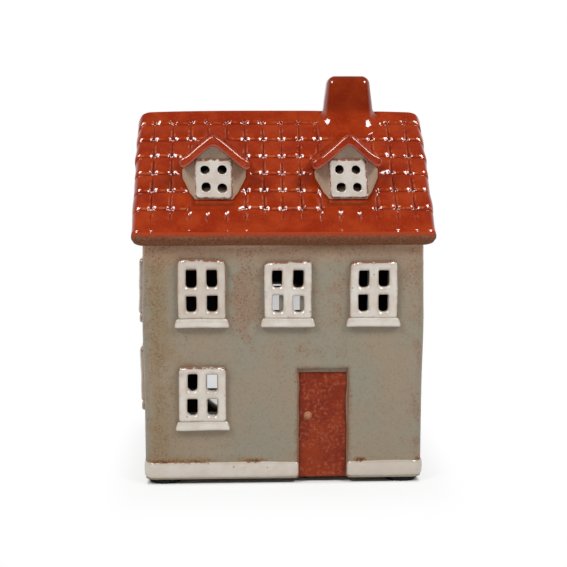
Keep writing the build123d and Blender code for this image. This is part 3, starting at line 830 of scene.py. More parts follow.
def wall_piece():
    """Columns run round the house from the front's left end, rows up to the underside of the roof.

    The outer skin is a rounded rectangle in plan, moved in by the door's rebate. The rear arch is a patch of
    its own: rings that go from the arch's outline out to a rectangle of the wall's own grid.
    """
    near = np.array([-0.9, -0.6, -0.4, -0.25, -0.1, 0.1, 0.3, 0.5, 0.75, 1.1])
    low, high = pane_holes(FRONT_WINDOWS, NARROW_HOLES)
    side_low, side_high = pane_holes(SIDE_WINDOWS)
    flat_x = HALF_WIDTH - WALL_CORNER
    flat_y = HALF_DEPTH - WALL_CORNER
    jambs = [DOOR_X - DOOR_HALF - near, DOOR_X + DOOR_HALF + near]
    front_x = filled(np.concatenate([low[:, 0], high[:, 0], *jambs, [-flat_x, flat_x]]), WALL_STEP)
    side_y = filled(np.concatenate([side_low[:, 0], side_high[:, 0], [-flat_y, flat_y]]), WALL_STEP)
    rear_x = filled(np.array([-flat_x, -ARCH_PATCH[0], ARCH_PATCH[0], flat_x]), 2.5)
    heights = [edge[:, 1] for edge in (low, high, side_low, side_high)]
    heights += [DOOR_TOP + near, [FOOT, 6.0, ARCH_PATCH[1], WALL_TOP]]
    heights.append(np.array([8.6, 9.2, 9.6, 10.1, 10.7, 11.6]))
    up = filled(np.concatenate(heights), WALL_STEP)
    share = np.linspace(0.0, 1.0, 13)[1:]

    turn = np.linspace(0.0, pi / 2, 8)[1:-1]
    stations = [np.stack([front_x, np.full(len(front_x), -HALF_DEPTH)], -1)]
    walls = [np.zeros(len(front_x))]
    arcs = (
        (flat_x, -flat_y, -pi / 2),
        (flat_x, flat_y, 0.0),
        (-flat_x, flat_y, pi / 2),
        (-flat_x, -flat_y, pi),
    )
    sides = (
        np.stack([np.full(len(side_y), HALF_WIDTH), side_y], -1),
        np.stack([rear_x[::-1], np.full(len(rear_x), HALF_DEPTH)], -1),
        np.stack([np.full(len(side_y), -HALF_WIDTH), side_y[::-1]], -1),
        np.zeros((0, 2)),
    )
    for number, ((x, y, start), side) in enumerate(zip(arcs, sides)):
        bend = np.stack([x + WALL_CORNER * np.cos(start + turn), y + WALL_CORNER * np.sin(start + turn)], -1)
        stations += [bend, side]
        walls += [np.full(len(bend), 9), np.full(len(side), number + 1)]
    plan = np.concatenate(stations)
    wall = np.concatenate(walls).astype(int)
    room = np.array([HALF_WIDTH - WALL, HALF_DEPTH - WALL])
    inner_plan = np.clip(plan, -room, room)

    def raise_plan(plan):
        top = RIDGE - ROOF_THICK / cos(PITCH) - np.abs(plan[:, 1]) * tan(PITCH) + 0.8
        level = np.broadcast_to(up[:, None], (len(up), len(plan)))
        z = np.concatenate([level, up[-1] + share[:, None] * (top - up[-1])])
        return np.concatenate([np.broadcast_to(plan[None], (*z.shape, 2)), z[..., None]], -1)

    outer, inner = raise_plan(plan), raise_plan(inner_plan)
    x, z = outer[..., 0], outer[..., 2]
    front = (wall == 0)[None] & (z < WALL_TOP + 0.1)
    aside = np.abs(x - DOOR_X + hand_wobble(outer[..., 2:], 11, 22.0, 0.16)) - DOOR_HALF
    jamb = np.maximum(aside, 0.6 * (z - DOOR_TOP))
    outer[..., 1] += np.where(front, DOOR_REBATE * (1.0 - eased(-0.45, 0.75, jamb)), 0.0)
    calm = front & (np.abs(x) < flat_x - 1.0)
    outer[..., 0] += np.sign(x) * wall_swell(z) * eased(flat_x - 6.0, HALF_WIDTH, np.abs(x))
    outer[..., 1] += np.where(calm, hand_wobble(outer[..., ::2], 12, 46.0, 0.18), 0.0)

    columns = len(plan)
    beside = np.roll(np.arange(columns), -1)
    middle = (plan + plan[beside]) / 2
    level = np.concatenate([(up[:-1] + up[1:]) / 2, np.full(len(share), 999.0)])
    kept = np.ones((len(level), columns), bool)
    flanks = (side_low, side_high)
    for number, axis, corners in ((0, 0, (low, high)), (1, 1, flanks), (3, 1, flanks)):
        for start, end in zip(*corners):
            hole = (wall == number) & (middle[:, axis] > start[0]) & (middle[:, axis] < end[0])
            kept[np.ix_((level > start[1]) & (level < end[1]), hole)] = False
    arch = (wall == 2) & (wall[beside] == 2) & (np.abs(middle[:, 0]) < ARCH_PATCH[0])
    left_out = (level < ARCH_PATCH[1])[:, None] & arch[None]
    points, faces = thick_sheet(outer, inner, kept, True, left_out)

    patch, patch_faces = arch_patch(outer, inner, up, arch)
    faces += [part + len(points) for part in patch_faces]
    points = np.concatenate([points, patch])

    walls = ["front_wall", "rear_wall", "left_gable_wall", "right_gable_wall"]
    marks = wall_marks(points)
    piece("house_walls", points, faces, grey_wall, walls, marks, sharp=50.0)


wall_piece()


# Windows: soft white plaques with four panes, over rounded sills
def pane_outline(angle, half, foot_round, head_round):
    """Points of a pane in given directions from its middle: straight head, round foot, on a fine outline."""
    turn = np.linspace(0.0, pi / 2, 40)
    a, b = half

    def corner(radius, right, up):
        bend = turn if right * up > 0 else turn[::-1]
        along = a - radius + radius * np.cos(bend)
        rise = b - radius + radius * np.sin(bend)
        return np.stack([right * along, up * rise], -1)

    bends = [corner(head_round, 1, 1), corner(head_round, -1, 1)]
    bends += [corner(foot_round, -1, -1), corner(foot_round, 1, -1)]
    upright = np.linspace(-b + foot_round, b - head_round, 20)
    sides = [np.stack([np.full(20, side), upright], -1) for side in (a, -a)]
    foot = np.stack([np.linspace(-a + foot_round, a - foot_round, 20), np.full(20, -b)], -1)
    head = np.stack([np.linspace(-a + head_round, a - head_round, 20), np.full(20, b)], -1)
    line = np.concatenate(bends + sides + [foot, head])
    facing = np.mod(np.arctan2(line[:, 1], line[:, 0]), 2 * pi)
    order = np.argsort(facing)
    far = np.hypot(line[:, 0], line[:, 1])
    reach = np.interp(np.mod(angle, 2 * pi), facing[order], far[order], period=2 * pi)
    return np.stack([reach * np.cos(angle), reach * np.sin(angle)], -1)


def plaque_shape(
    size, proud, spacing, pane, seed, foot_round, head_round,
    rim_round=0.8, edge_round=1.15, beaded=False, sink=0.6,
):
    """Four cells round four panes: rings from each pane's outline out to the edges of its quarter.

    The face lies proud of the wall and falls away in quarter rounds at the panes and at the plaque's outline.
    Gives points as (along the wall, out of it, up), faces, and how near each point lies to an edge.
    """
    draw = np.random.default_rng(seed)
    half = np.array(size) / 2
    side = np.linspace(0.0, 1.0, 13)[:-1]
    zero, one = 0.0 * side, 0.0 * side + 1.0
    pairs = ((side, zero), (one, side), (1 - side, one), (zero, 1 - side))
    square = np.concatenate([np.stack(pair, -1) for pair in pairs])
    away = [0.0, 0.02, 0.05, 0.1, 0.16, 0.24, 0.36, 0.52, 0.68, 0.8, 0.88, 0.94, 0.98, 1.0]
    away = np.array(away)[:, None, None]
    all_points, all_faces, all_edges, count = [], [], [], 0
    for right in (-1, 1):
        for up in (-1, 1):
            rim = square * half * (right, up)
            core = half - edge_round
            past = np.clip(np.abs(rim) - core, 0.0, None)
            far = np.maximum(np.linalg.norm(past, axis=1, keepdims=True), 1e-9)
            bent = np.minimum(np.abs(rim), core) + edge_round * past / far
            rim = np.where((past > 0).all(1)[:, None], np.sign(rim) * bent, rim)
            middle = np.array(spacing) / 2 * (right, up) + draw.normal(0.0, 0.12, 2)
            hole = np.array(pane) / 2 * draw.uniform(0.93, 1.06, 2)
            toward = rim - middle
            line = middle + pane_outline(np.arctan2(toward[:, 1], toward[:, 0]), hole, foot_round, head_round)
            spot = line + away * (rim - line)
            from_pane = np.linalg.norm(spot - line, axis=-1)
            past = np.abs(spot) - core
            from_edge = edge_round - np.linalg.norm(np.clip(past, 0.0, None), axis=-1)
            from_edge = np.where((past < 0).any(-1), edge_round - past.max(-1), from_edge)
            fall = quarter_fall(rim_round, from_pane)
            drop = quarter_fall(edge_round, from_edge)
            height = proud - 0.9 * fall - 0.85 * drop
            face = np.stack([spot[..., 0], height, spot[..., 1]], -1)
            back = np.stack([spot[..., 0], np.full(height.shape, -sink), spot[..., 1]], -1)
            middle_edge = (np.abs(square) < 1e-9).any(1)
            shared = middle_edge & np.roll(middle_edge, -1)
            laid = np.ones((len(away) - 1, len(square)), bool)
            points, faces = thick_sheet(face, back, laid, True, open_top=shared)
            inner = 0.8 * (1.0 - from_pane / (1.2 * rim_round))
            edge = np.maximum(1.0 - from_edge / (1.3 * edge_round), inner)
            edge = np.clip(edge, 0.0, 1.0)
            all_edges += [edge.ravel(), edge.ravel()]
            all_points.append(points)
            all_faces += [part + count for part in faces]
            count += len(points)
    points = np.concatenate(all_points)
    points[:, 0] += hand_wobble(points[:, ::2], seed + 1, 17.0, 0.14)
    points[:, 2] += hand_wobble(points[:, ::2], seed + 2, 17.0, 0.14)
    points[:, 1] += np.where(points[:, 1] > 0.0, hand_wobble(points[:, ::2], seed + 3, 11.0, 0.12), 0.0)
    beads = [(a * (half[0] - 1.2), half[1] - 1.2, 1.15, 1.4) for a in (-1, 1)]
    for a, b, height, reach in beads if beaded else ():
        swell = height * bell(points[:, 0], a, reach) * bell(points[:, 2], b, reach)
        points[:, 1] += np.where(points[:, 1] > 0.3, swell, 0.0)
    return points, all_faces, np.concatenate(all_edges)


def white_glaze():
    """Glossy white glaze over red-brown clay: terracotta on thin edges, and a few iron spots."""
    glaze = Glaze("white_trim_glaze", IOR=2.0)
    drift = glaze.ramp(glaze.cloud(6.0, 4.0), 0.36, 0.66)
    colour = glaze.mix(drift, tone(213, 206, 196), tone(203, 191, 178))
    colour = glaze.mix(glaze.mark("warm"), colour, tone(186, 171, 154))
    thin = glaze.broken(glaze.mark("edge"), glaze.cloud(2.4, 5.0, 0.62), 0.38, 0.64, 0.15, 1.0)
    colour = glaze.mix(glaze.ramp(thin, 0.25, 0.62, 0.0, 0.35), colour, tone(196, 150, 124))
    thin = glaze.broken(glaze.mark("burn"), glaze.cloud(2.0, 5.0, 0.62), 0.34, 0.56, 0.1, 1.0)
    colour = glaze.mix(glaze.ramp(thin, 0.25, 0.6, 0.0, 0.9), colour, tone(132, 66, 38))
    iron = glaze.broken(glaze.mark("iron"), glaze.cloud(1.1, 4.0), 0.36, 0.56, 0.2, 1.0)
    colour = glaze.mix(glaze.ramp(iron, 0.2, 0.6), colour, tone(78, 40, 14))
    # Darker brown on the plaques' flanks and outlines: partly bare clay where the glaze stops, partly painted
    # contact shadow against the wall.
    colour = glaze.mix(glaze.mark("dim"), colour, tone(128, 102, 80))
    colour = glaze.mix(glaze.ramp(glaze.cells(5.5), 0.05, 0.1, 0.7, 0.0), colour, tone(150, 120, 94))
    rough = glaze.ramp(glaze.cloud(4.0, 2.0), 0.3, 0.7, 0.06, 0.12)
    waves = glaze.bumps(glaze.cloud(3.2, 2.0), 0.12, 0.5)
    return glaze.done(Base_Color=colour, Roughness=rough, Normal=waves)


def door_glaze():
    """Matt terracotta slip with pale mottled flecks and fine pits, and painted shadow darkening it along its
    rim.
    """
    glaze = Glaze("terracotta_door_slip", IOR=1.3)
    colour = glaze.mix(glaze.ramp(glaze.cloud(7.0, 4.0), 0.36, 0.66), tone(121, 35, 8), tone(139, 48, 16))
    flecks = glaze.ramp(glaze.cloud(1.5, 5.0, 0.7), 0.46, 0.66)
    flecks = glaze.broken(flecks, glaze.cloud(6.0, 2.0), 0.4, 0.58, 0.2, 1.0)
    colour = glaze.mix(sums(glaze.tree, "MULTIPLY", flecks, 0.62), colour, tone(176, 98, 66))
    # Painted shadow: the door darkens towards its edges, where it sits in the rebate.
    colour = glaze.mix(glaze.ramp(glaze.mark("rim"), 0.2, 1.0, 0.0, 0.6), colour, tone(96, 30, 10))
    colour = glaze.mix(glaze.ramp(glaze.mark("pale"), 0.3, 0.8), colour, tone(182, 124, 92))
    rough = glaze.ramp(glaze.cloud(2.0, 3.0), 0.3, 0.7, 0.26, 0.5)
    pits = glaze.bumps(glaze.cloud(1.0, 4.0, 0.65), 0.22, 0.7)
    return glaze.done(Base_Color=colour, Roughness=rough, Normal=pits)


white_trim = white_glaze()
terracotta = door_glaze()


def on_wall(points, wall):
    """Points given as (along, out, up) on one wall's face, set in the house's frame."""
    u, out, up = points.T
    places = {
        "front": (u, -HALF_DEPTH - out, up),
        "left": (-HALF_WIDTH - out - wall_swell(up), u, up),
        "right": (HALF_WIDTH + out + wall_swell(up), u, up),
    }
    return np.stack(places[wall], -1)


HEADS = {
    "front_upper_left": 2.0,
    "front_upper_middle": 1.1,
    "front_upper_right": 1.0,
    "front_lower_left": 0.6,
}
LEANS = {
    "front_upper_left": -0.03,
    "front_upper_middle": 0.03,
    "front_upper_right": 0.02,
    "front_lower_left": -0.01,
}


def window_pieces(name, wall, u, sill, seed):
    """A plaque, whose head is drawn up by its own amount and leans a little, and its sill on one wall."""
    aside = wall != "front"
    sizes = (PLAQUE, PLAQUE_PROUD[wall], PANE_SPACING, PANES)
    points, faces, edge = plaque_shape(*sizes, seed, *PLAQUE_ROUNDS, not aside)
    a, z = points[:, 0], points[:, 2]
    burn = 1.2 * edge * eased(PLAQUE[1] / 2 - 1.6, PLAQUE[1] / 2 - 0.4, z)
    burn += edge * 0.55 * eased(PLAQUE[0] / 2 - 1.0, PLAQUE[0] / 2, np.abs(a)) * eased(-4.0, 6.0, z)
    share = eased(PANE_SPACING[1] / 2 + PANES[1] / 2 - 0.4, PLAQUE[1] / 2 - 0.6, z)
    points[:, 2] += share * (HEADS.get(name, 0.6) + LEANS.get(name, 0.0) * a)
    # Where the plaque meets the wall its flank goes dark brown: partly bare clay, partly painted contact
    # shadow.
    flank = eased(1.7, 0.6, points[:, 1]) * (edge > 0.3)
    dim = np.maximum(flank * (0.85 if aside else 0.35), 0.75 * eased(0.66, 0.95, edge))
    points = points + (u, 0.0, sill + SILL[1] + PLAQUE[1] / 2)
    warm = 0.0 * edge + (0.55 if name == "front_upper_left" else 0.12)
    burn = np.clip(burn, 0.0, 1.0) * (0.3 if aside else 1.0)
    marks = {"edge": edge, "burn": burn, "dim": dim, "warm": warm}
    piece(name + "_plaque", on_wall(points, wall), faces, white_trim, [name + "_frame"], marks)

    proud = SILL_PROUD[wall]
    loop = rounded_loop((proud + SILL_SINK) / 2, SILL[1] / 2, SILL_ROUND) + ((proud - SILL_SINK) / 2, 0.0)
    bar, faces = soft_bar(loop, SILL[0] / 2 - 0.15, SILL_ROUND)
    bar = bar[:, [2, 0, 1]]
    bar[:, 2] += hand_wobble(bar[:, :1], seed + 5, 26.0, 0.1)
    bar[:, 1] += hand_wobble(bar[:, :1], seed + 6, 16.0, 0.12)
    near = np.clip((np.abs(bar[:, 0]) - SILL[0] / 2 + 1.2) / 1.2, 0.0, 1.0)
    bar[:, 0] *= 1.0 - SILL_TAPER * np.clip(bar[:, 2] / SILL[1] + 0.5, 0.0, 1.0) ** 1.5
    # The side sills darken towards their ends.
    dim = near * (0.8 if aside else 0.0)
    marks = {"edge": near, "dim": dim}
    bar = bar + (u, 0.0, sill + SILL[1] / 2 + SILL_LIFT)
    piece(name + "_ledge", on_wall(bar, wall), faces, white_trim, [name + "_sill"], marks)


for seed, (name, (u, sill)) in enumerate(FRONT_WINDOWS.items()):
    window_pieces(name, "front", u, sill, 100 + 10 * seed)
for number, wall in enumerate(("left", "right")):
    for seed, (name, (u, sill)) in enumerate(SIDE_WINDOWS.items()):
        window_pieces(f"{wall}_{name}", wall, u, sill, 200 + 100 * number + 10 * seed)


# Door: a soft slab in its rebate, and a domed knob
def door_pieces():
    """A grid over the rebate whose edges wander and round over, and a dome turned round the knob's axis."""
    rims = DOOR_HALF - np.array([0.0, 0.15, 0.4, 0.8, 1.3])
    wide = filled(np.concatenate([rims, -rims]), 0.9)
    top = DOOR_TOP - DOOR_GAP
    tall = filled(np.array([FOOT, FOOT + 0.3, FOOT + 0.8, top - 1.3, top - 0.7, top - 0.3, top]), 0.9)
    z, x = np.meshgrid(tall, wide, indexing="ij")
    near = np.minimum(DOOR_HALF - np.abs(x), top - z)
    drop = quarter_fall(DOOR_ROUND, near)
    flat = np.stack([x, z], -1)
    y = -HALF_DEPTH + DOOR_FACE + 0.7 * drop + hand_wobble(flat, 31, 9.0, 0.14)
    x = DOOR_X + x * (1.035 + 0.012 * hand_wobble(flat[..., 1:], 32, 12.0, 1.0))
    outer = np.stack([x, y, z], -1)
    inner = np.stack([x, np.full(x.shape, -HALF_DEPTH + DOOR_BACK), z], -1)
    points, faces = thick_sheet(outer, inner, np.ones((len(tall) - 1, len(wide) - 1), bool))
    # Painted shadow along the door's edges in the rebate.
    rim = np.clip(1.0 - near / 1.6, 0.0, 1.0).ravel()
    rim = np.concatenate([rim, rim])
    piece("door_slab", points, faces, terracotta, ["door_panel"], {"rim": rim})
    swing = np.linspace(0.0, pi / 2, 10)
    dome = np.stack([1.55 * np.cos(swing), 1.5 * np.sin(swing)], -1)
    profile = np.concatenate([[[0.0, -0.4], [1.7, -0.4], [1.75, 0.05], [1.62, 0.2]], dome[1:]])
    skin, faces = turned(profile, 28)
    a, b, out = skin.reshape(-1, 3).T
    middle = DOOR_X - DOOR_HALF + KNOB_ASIDE
    knob = np.stack([middle + a, -HALF_DEPTH + DOOR_FACE - out, KNOB_HIGH + b], -1)
    piece("door_pull", knob, faces, terracotta, ["door_knob"], {"pale": 0.0 * a + 0.66})


door_pieces()


# Plinth: one soft white band carried round the house from one side of the door to the other
def plinth_piece():
    """A bulging section, as (out, up), carried along the wall's rounded outline; its ends round over."""
    flat_x, flat_y = HALF_WIDTH - WALL_CORNER, HALF_DEPTH - WALL_CORNER
    turn = np.linspace(0.0, pi / 2, 9)
    door_left, door_right = DOOR_X - DOOR_HALF, DOOR_X + DOOR_HALF
    reach, inset = end_rounding(PLINTH_END)
    corners = ((-flat_x, -flat_y), (-flat_x, flat_y), (flat_x, flat_y), (flat_x, -flat_y))
    legs = (
        ((door_left - 2.6, -flat_y), (-flat_x + 1.0, -flat_y), 34),
        ((-flat_x, -flat_y + 1.0), (-flat_x, flat_y - 1.0), 40),
        ((-flat_x + 1.0, flat_y), (flat_x - 1.0, flat_y), 50),
        ((flat_x, flat_y - 1.0), (flat_x, -flat_y + 1.0), 40),
        ((flat_x - 1.0, -flat_y), (door_right + 2.6, -flat_y), 16),
    )

    def run(x, y, angle, inset):
        """Stations of the path: the middle that the section turns round, its direction and its inset."""
        return np.stack(np.broadcast_arrays(x, y, angle, inset), -1)

    runs = [run(door_left - PLINTH_END + reach[::-1], -flat_y, -pi / 2, inset[::-1])]
    for number, (start, end, count) in enumerate(legs):
        angle = -pi / 2 * (number + 1)
        runs.append(run(*np.linspace(start, end, count).T, angle, 0.0))
        if number < len(corners):
            runs.append(run(*corners[number], angle - turn, 0.0))
    runs.append(run(door_right + PLINTH_END - reach, -flat_y, angle, inset))
    path = np.concatenate(runs)
    foot = np.linspace(-pi / 2, 0.0, 9)
    head = np.linspace(0.0, pi / 2, 9)
    low = np.stack([PLINTH_PROUD + 2.0 * (np.cos(foot) - 1.0), FOOT + 2.0 + 2.0 * np.sin(foot)], -1)
    high = np.stack([PLINTH_PROUD + np.cos(head) - 1.0, PLINTH_TOP - 1.0 + np.sin(head)], -1)
    belly = np.stack([np.array([0.05, 0.1, 0.05]) + PLINTH_PROUD, [5.0, 6.4, 7.8]], -1)
    loop = np.concatenate([[[-2.4, FOOT]], low, belly, high, [[-2.4, PLINTH_TOP]], [[-2.4, 6.0]]])
    centre = np.array([-1.0, 5.9])
    shrink = (loop - centre) / np.linalg.norm(loop - centre, axis=1, keepdims=True)
    loop = loop[None] - path[:, 3, None, None] * shrink[None]
    swell = hand_wobble(np.arange(len(path))[:, None] * 2.5, 51, 45.0, 0.12)
    out = WALL_CORNER + loop[..., 0] + swell[:, None] * (loop[..., 0] > -0.5)
    sway = hand_wobble(np.arange(len(path))[:, None] * 2.5, 52, 60.0, 0.16)[:, None]
    rise = loop[..., 1] + sway * (loop[..., 1] > 6.5)
    facing = path[:, 2:3]
    skin = np.stack([path[:, :1] + out * np.cos(facing), path[:, 1:2] + out * np.sin(facing), rise], -1)
    faces = tube_faces(*skin.shape[:2])
    points = skin.reshape(-1, 3)
    x, y, z = points.T
    top = eased(PLINTH_TOP - 1.0, PLINTH_TOP - 0.1, z) * (y < 0.0)
    iron = np.zeros(len(points))
    stains = ((-56.0, -30.5, 0.45), (-16.0, -9.5, 0.5), (29.5, 32.5, 0.8), (55.0, 58.0, 0.8))
    for start, end, amount in stains:
        iron += amount * eased(start - 1.2, start + 0.6, x) * eased(end + 1.2, end - 0.6, x)
    marks = {
        "edge": 0.35 * eased(PLINTH_TOP - 1.2, PLINTH_TOP, z),
        "iron": iron * top,
        "warm": 0.36 + 0.36 * eased(20.0, 40.0, x),
    }
    strips = ["front_left_plinth", "front_right_plinth", "left_plinth", "right_plinth", "rear_plinth"]
    piece("plinth_band", points, faces, white_trim, strips, marks)


plinth_piece()


# Chimney: rounded loops stacked from a flared foot on the tiles to a soft top
def chimney_piece():
    """Rounded rectangles in plan; the foot flares out to lie on the slopes, the head rounds in."""
    swing = np.linspace(0.0, pi / 2, 8)
    out = np.concatenate([[CHIMNEY_FLARE + 0.8], CHIMNEY_FLARE * (1 - np.sin(swing))])
    lift = np.concatenate([[-0.9], CHIMNEY_FLARE * (1 - np.cos(swing))])
    base = rounded_loop(CHIMNEY_HALF[0] + 0.3, CHIMNEY_HALF[1] + 0.2, 4.4, 9)
    facing = loop_normals(base)
    facing *= np.sign(np.sum(facing * base))
    share = np.linspace(0.0, 1.0, 12)[1:]
    reach, inset = end_rounding(CHIMNEY_ROUND, 9)
    loops, heights = [], []
    for distance, up in zip(out, lift):
        loop = base + distance * facing
        section = roof_section(np.abs(loop[:, 1]) / cos(PITCH))[0][:, 1]
        loops.append(loop)
        heights.append(section - 0.6 + up / cos(PITCH) * 0.85)
    start = heights[-1]
    for part in share:
        loops.append(base - CHIMNEY_TAPER * part * facing)
        heights.append(start + part * (CHIMNEY_TOP - CHIMNEY_ROUND - start))
    for up, inward in zip(reach[1:], inset[1:]):
        loops.append(base - (CHIMNEY_TAPER + inward) * facing)
        heights.append(np.full(len(base), CHIMNEY_TOP - CHIMNEY_ROUND + up))
    for shrink in (0.75, 0.45, 0.15):
        loops.append((base - (CHIMNEY_TAPER + CHIMNEY_ROUND) * facing) * shrink)
        heights.append(np.full(len(base), CHIMNEY_TOP + 0.12 * (1 - shrink)))
    skin = np.concatenate([np.stack(loops), np.stack(heights)[..., None]], -1)
    skin[..., 0] += CHIMNEY_X
    points = skin.reshape(-1, 3)
    sway = np.stack([hand_wobble(points, seed, 24.0, 0.15) for seed in (61, 62)], -1)
    points[:, :2] += sway * (points[:, 2:] > 155.0)
    faces = tube_faces(*skin.shape[:2])
    rim = np.concatenate([np.zeros(9 + len(share)), np.linspace(0.5, 0.9, len(reach) - 1), np.full(3, 0.2)])
    rim = np.repeat(rim, len(base))
    # The same dark mark here darkens the glaze of the whole stack above the ridge.
    marks = {"edge": 0.3 * rim, "dark_glaze_and_shade": 0.56 * eased(149.0, 154.0, points[:, 2])}
    piece("chimney_pot", points, faces, red_roof, ["chimney_stack"], marks)


chimney_piece()


# Dormers: grey splayed walls, a white window with round holes, and a little red roof
def dormer_hood(side, middle, seed):
    """A chevron section carried back into the slope, with a rounded front and a soft join to the tiles."""
    left, right = DORMER_TIPS[side]
    bow = np.linspace(-pi / 2, pi / 2, 45)
    span = left + (right - left) * (1.0 + np.sin(bow)) / 2
    a = np.unique(np.concatenate([span, np.linspace(-1.6, 1.6, 9)]))
    spread = np.where(a < 0.0, a / left, a / right)
    lift = 1.9 * np.clip((spread - 0.7) / 0.3, 0.0, 1.0) ** 2
    top_z = DORMER_RIDGE + 0.5 - np.sqrt(a * a + 2.0) * tan(DORMER_PITCH) + lift
    tall = DORMER_THICK / cos(DORMER_PITCH)
    plump = np.sqrt(1.0 - np.clip((spread - 0.86) / 0.14, 0.0, 1.0) ** 2)
    upper = np.stack([a, top_z - tall / 2 * (1.0 - plump)], -1)
    lower = np.stack([a, top_z - tall / 2 * (1.0 + plump)], -1)[::-1]
    loop = np.concatenate([upper, lower[1:-1]])
    facing = loop_normals(loop)
    facing *= np.sign(np.sum(facing * (loop - loop.mean(0))))
    reach, inset = end_rounding(1.1, 6)
    behind = [2.2, 3.4, 5.0, 7.5, 10.0, 12.5, 15.0, 17.0, 19.0, 21.0, 23.0, 25.0, 27.0, 29.0, 31.0]
    depth = np.concatenate([1.1 - reach[::-1], behind])
    inset = np.concatenate([inset[::-1], np.zeros(len(behind))])
    upper = np.zeros(len(loop))
    upper[:len(a)] = 1.0
    skin = loop[None] - (inset[:, None] * (0.3 + 0.7 * upper))[..., None] * facing[None]
    halfway = np.interp(skin[0, :, 0], a, top_z - tall / 2)
    flat = np.stack([0.985 * skin[0, :, 0], halfway + 0.6 * (skin[0, :, 1] - halfway)], -1)
    skin = np.concatenate([flat[None], skin])
    depth = np.concatenate([[0.0], depth])
    y = np.broadcast_to((DORMER_FRONT + depth)[:, None], skin.shape[:2])
    plane = RIDGE - np.abs(y) * tan(PITCH)
    gap = (skin[..., 1] - plane) * cos(PITCH) + 0.1
    z = skin[..., 1] + clay_blend(gap) * upper / cos(PITCH)
    droop = 0.25 * hand_wobble(np.stack([skin[..., 0], y], -1), seed, 16.0, 1.0)
    points = np.stack([middle + skin[..., 0], y, z + droop], -1)
    rows, columns = points.shape[:2]
    faces = tube_faces(rows, columns)
    edge = np.zeros((rows, columns))
    edge[3:8] = 0.4
    hood, solids = points.reshape(-1, 3), [side + "_dormer_roof"]
    piece(side + "_dormer_hood", hood, faces, red_roof, solids, {"edge": edge})


def dormer_cheeks(side, middle):
    """A thick sheet on a splayed plan, from under the slope up to the hood, with four holes in its face."""
    flat = DORMER_WALL_HALF - DORMER_BEND
    holes = np.array([-0.5, 0.5]) * DORMER_PITCHES[0]
    sills = DORMER_MIDDLE + np.array([-0.5, 0.5]) * DORMER_PITCHES[1]
    x = filled(np.concatenate([holes - DORMER_HOLE, holes + DORMER_HOLE, [-flat, flat]]), 1.0)
    swing = np.linspace(0.0, pi / 2 - DORMER_SPLAY, 6)
    bend = DORMER_BEND * np.stack([np.sin(swing), 1.0 - np.cos(swing)], -1) + (flat, DORMER_FACE)
    cheek_y = bend[-1, 1] + np.linspace(0.0, 1.0, 14)[1:] * (DORMER_RUN - DORMER_BEND)
    cheek = np.stack([np.interp(cheek_y, *DORMER_CHEEK), cheek_y], -1)
    right = np.concatenate([bend[1:], cheek])
    plan = np.concatenate([right[::-1] * (-1.0, 1.0), np.stack([x, np.full(len(x), DORMER_FACE)], -1), right])
    way = np.gradient(plan, axis=0)
    inward = np.stack([-way[:, 1], way[:, 0]], -1) / np.linalg.norm(way, axis=1, keepdims=True)
    inner_plan = plan + DORMER_WALL * inward
    hollow = DORMER_RIDGE - DORMER_THICK / cos(DORMER_PITCH)
    low_rows = filled(np.concatenate([[114.2, 131.2], sills - DORMER_HOLE, sills + DORMER_HOLE]), 1.2)

    def raised(plan):
        foot = RIDGE - np.abs(plan[:, 1]) * tan(PITCH) - 2.5
        head = np.maximum(hollow - np.abs(plan[:, 0]) * tan(DORMER_PITCH) + 0.9, foot + 0.3)
        face = np.abs(plan[:, 1] - plan[:, 1].min()) < 0.01
        rows = np.broadcast_to(low_rows[:, None], (len(low_rows), len(plan)))
        share = (rows - low_rows[0]) / (low_rows[-1] + 4.0 - low_rows[0])
        lower = np.where(face, rows, foot + share * (head - foot))
        upper = lower[-1] + np.linspace(0.0, 1.0, 7)[1:, None] * (head - lower[-1])
        z = np.concatenate([lower, upper])
        return np.concatenate([np.broadcast_to(plan, (*z.shape, 2)), z[..., None]], -1)

    outer, inner = raised(plan), raised(inner_plan)
    level = np.concatenate([(low_rows[:-1] + low_rows[1:]) / 2, np.full(6, 999.0)])
    between = (plan[:-1] + plan[1:]) / 2
    face = between[:, 1] < DORMER_FACE + 0.01
    kept = np.ones((len(level), len(between)), bool)
    for u in holes:
        for w in sills:
            hole = face & (np.abs(between[:, 0] - u) < DORMER_HOLE)
            kept[np.ix_(np.abs(level - w) < DORMER_HOLE, hole)] = False
    points, faces = thick_sheet(outer, inner, kept)
    # Painted shade: the inner skin of the cheeks is marked to be painted dark.
    inside_shade = np.repeat([0.0, 1.0], len(points) // 2)
    points[:, 0] += middle
    near = points[:, 2] - (RIDGE - np.abs(points[:, 1]) * tan(PITCH))
    rust = 0.75 * eased(2.6, 0.2, near) + 0.25 * eased(8.5, 12.5, np.abs(points[:, 0] - middle))
    marks = {"rust": rust, "inside_shade": inside_shade}
    solids = [side + "_dormer_wall"]
    piece(side + "_dormer_cheeks", points, faces, dormer_wall, solids, marks, sharp=50.0)


def dormer_plaque(side, middle, seed):
    """The white window on the face, leaning with its dormer and burnt along its outer edges."""
    sizes = (DORMER_PLAQUE, DORMER_PROUD, DORMER_PITCHES, DORMER_PANES)
    points, faces, edge = plaque_shape(*sizes, seed, *DORMER_ROUNDS)
    burn = 1.1 * edge * eased(5.6, 7.4, points[:, 2]) + 0.9 * edge * eased(5.8, 7.2, points[:, 0])
    burn += 0.9 * edge * eased(-6.4, -7.5, points[:, 2]) + 0.7 * edge * eased(-6.2, -7.4, points[:, 0])
    points[:, 0] -= DORMER_SKEW[side] * points[:, 2]
    points = points + (middle, 0.0, DORMER_MIDDLE)
    points = np.stack([points[:, 0], DORMER_FACE - points[:, 1], points[:, 2]], -1)
    marks = {"edge": edge, "burn": np.clip(burn, 0.0, 1.0)}
    piece(side + "_dormer_plaque", points, faces, white_trim, [side + "_dormer_window"], marks)


for seed, (side, middle) in enumerate(DORMERS.items()):
    dormer_hood(side, middle, 300 + 20 * seed)
    dormer_cheeks(side, middle)
    dormer_plaque(side, middle, 340 + 20 * seed)


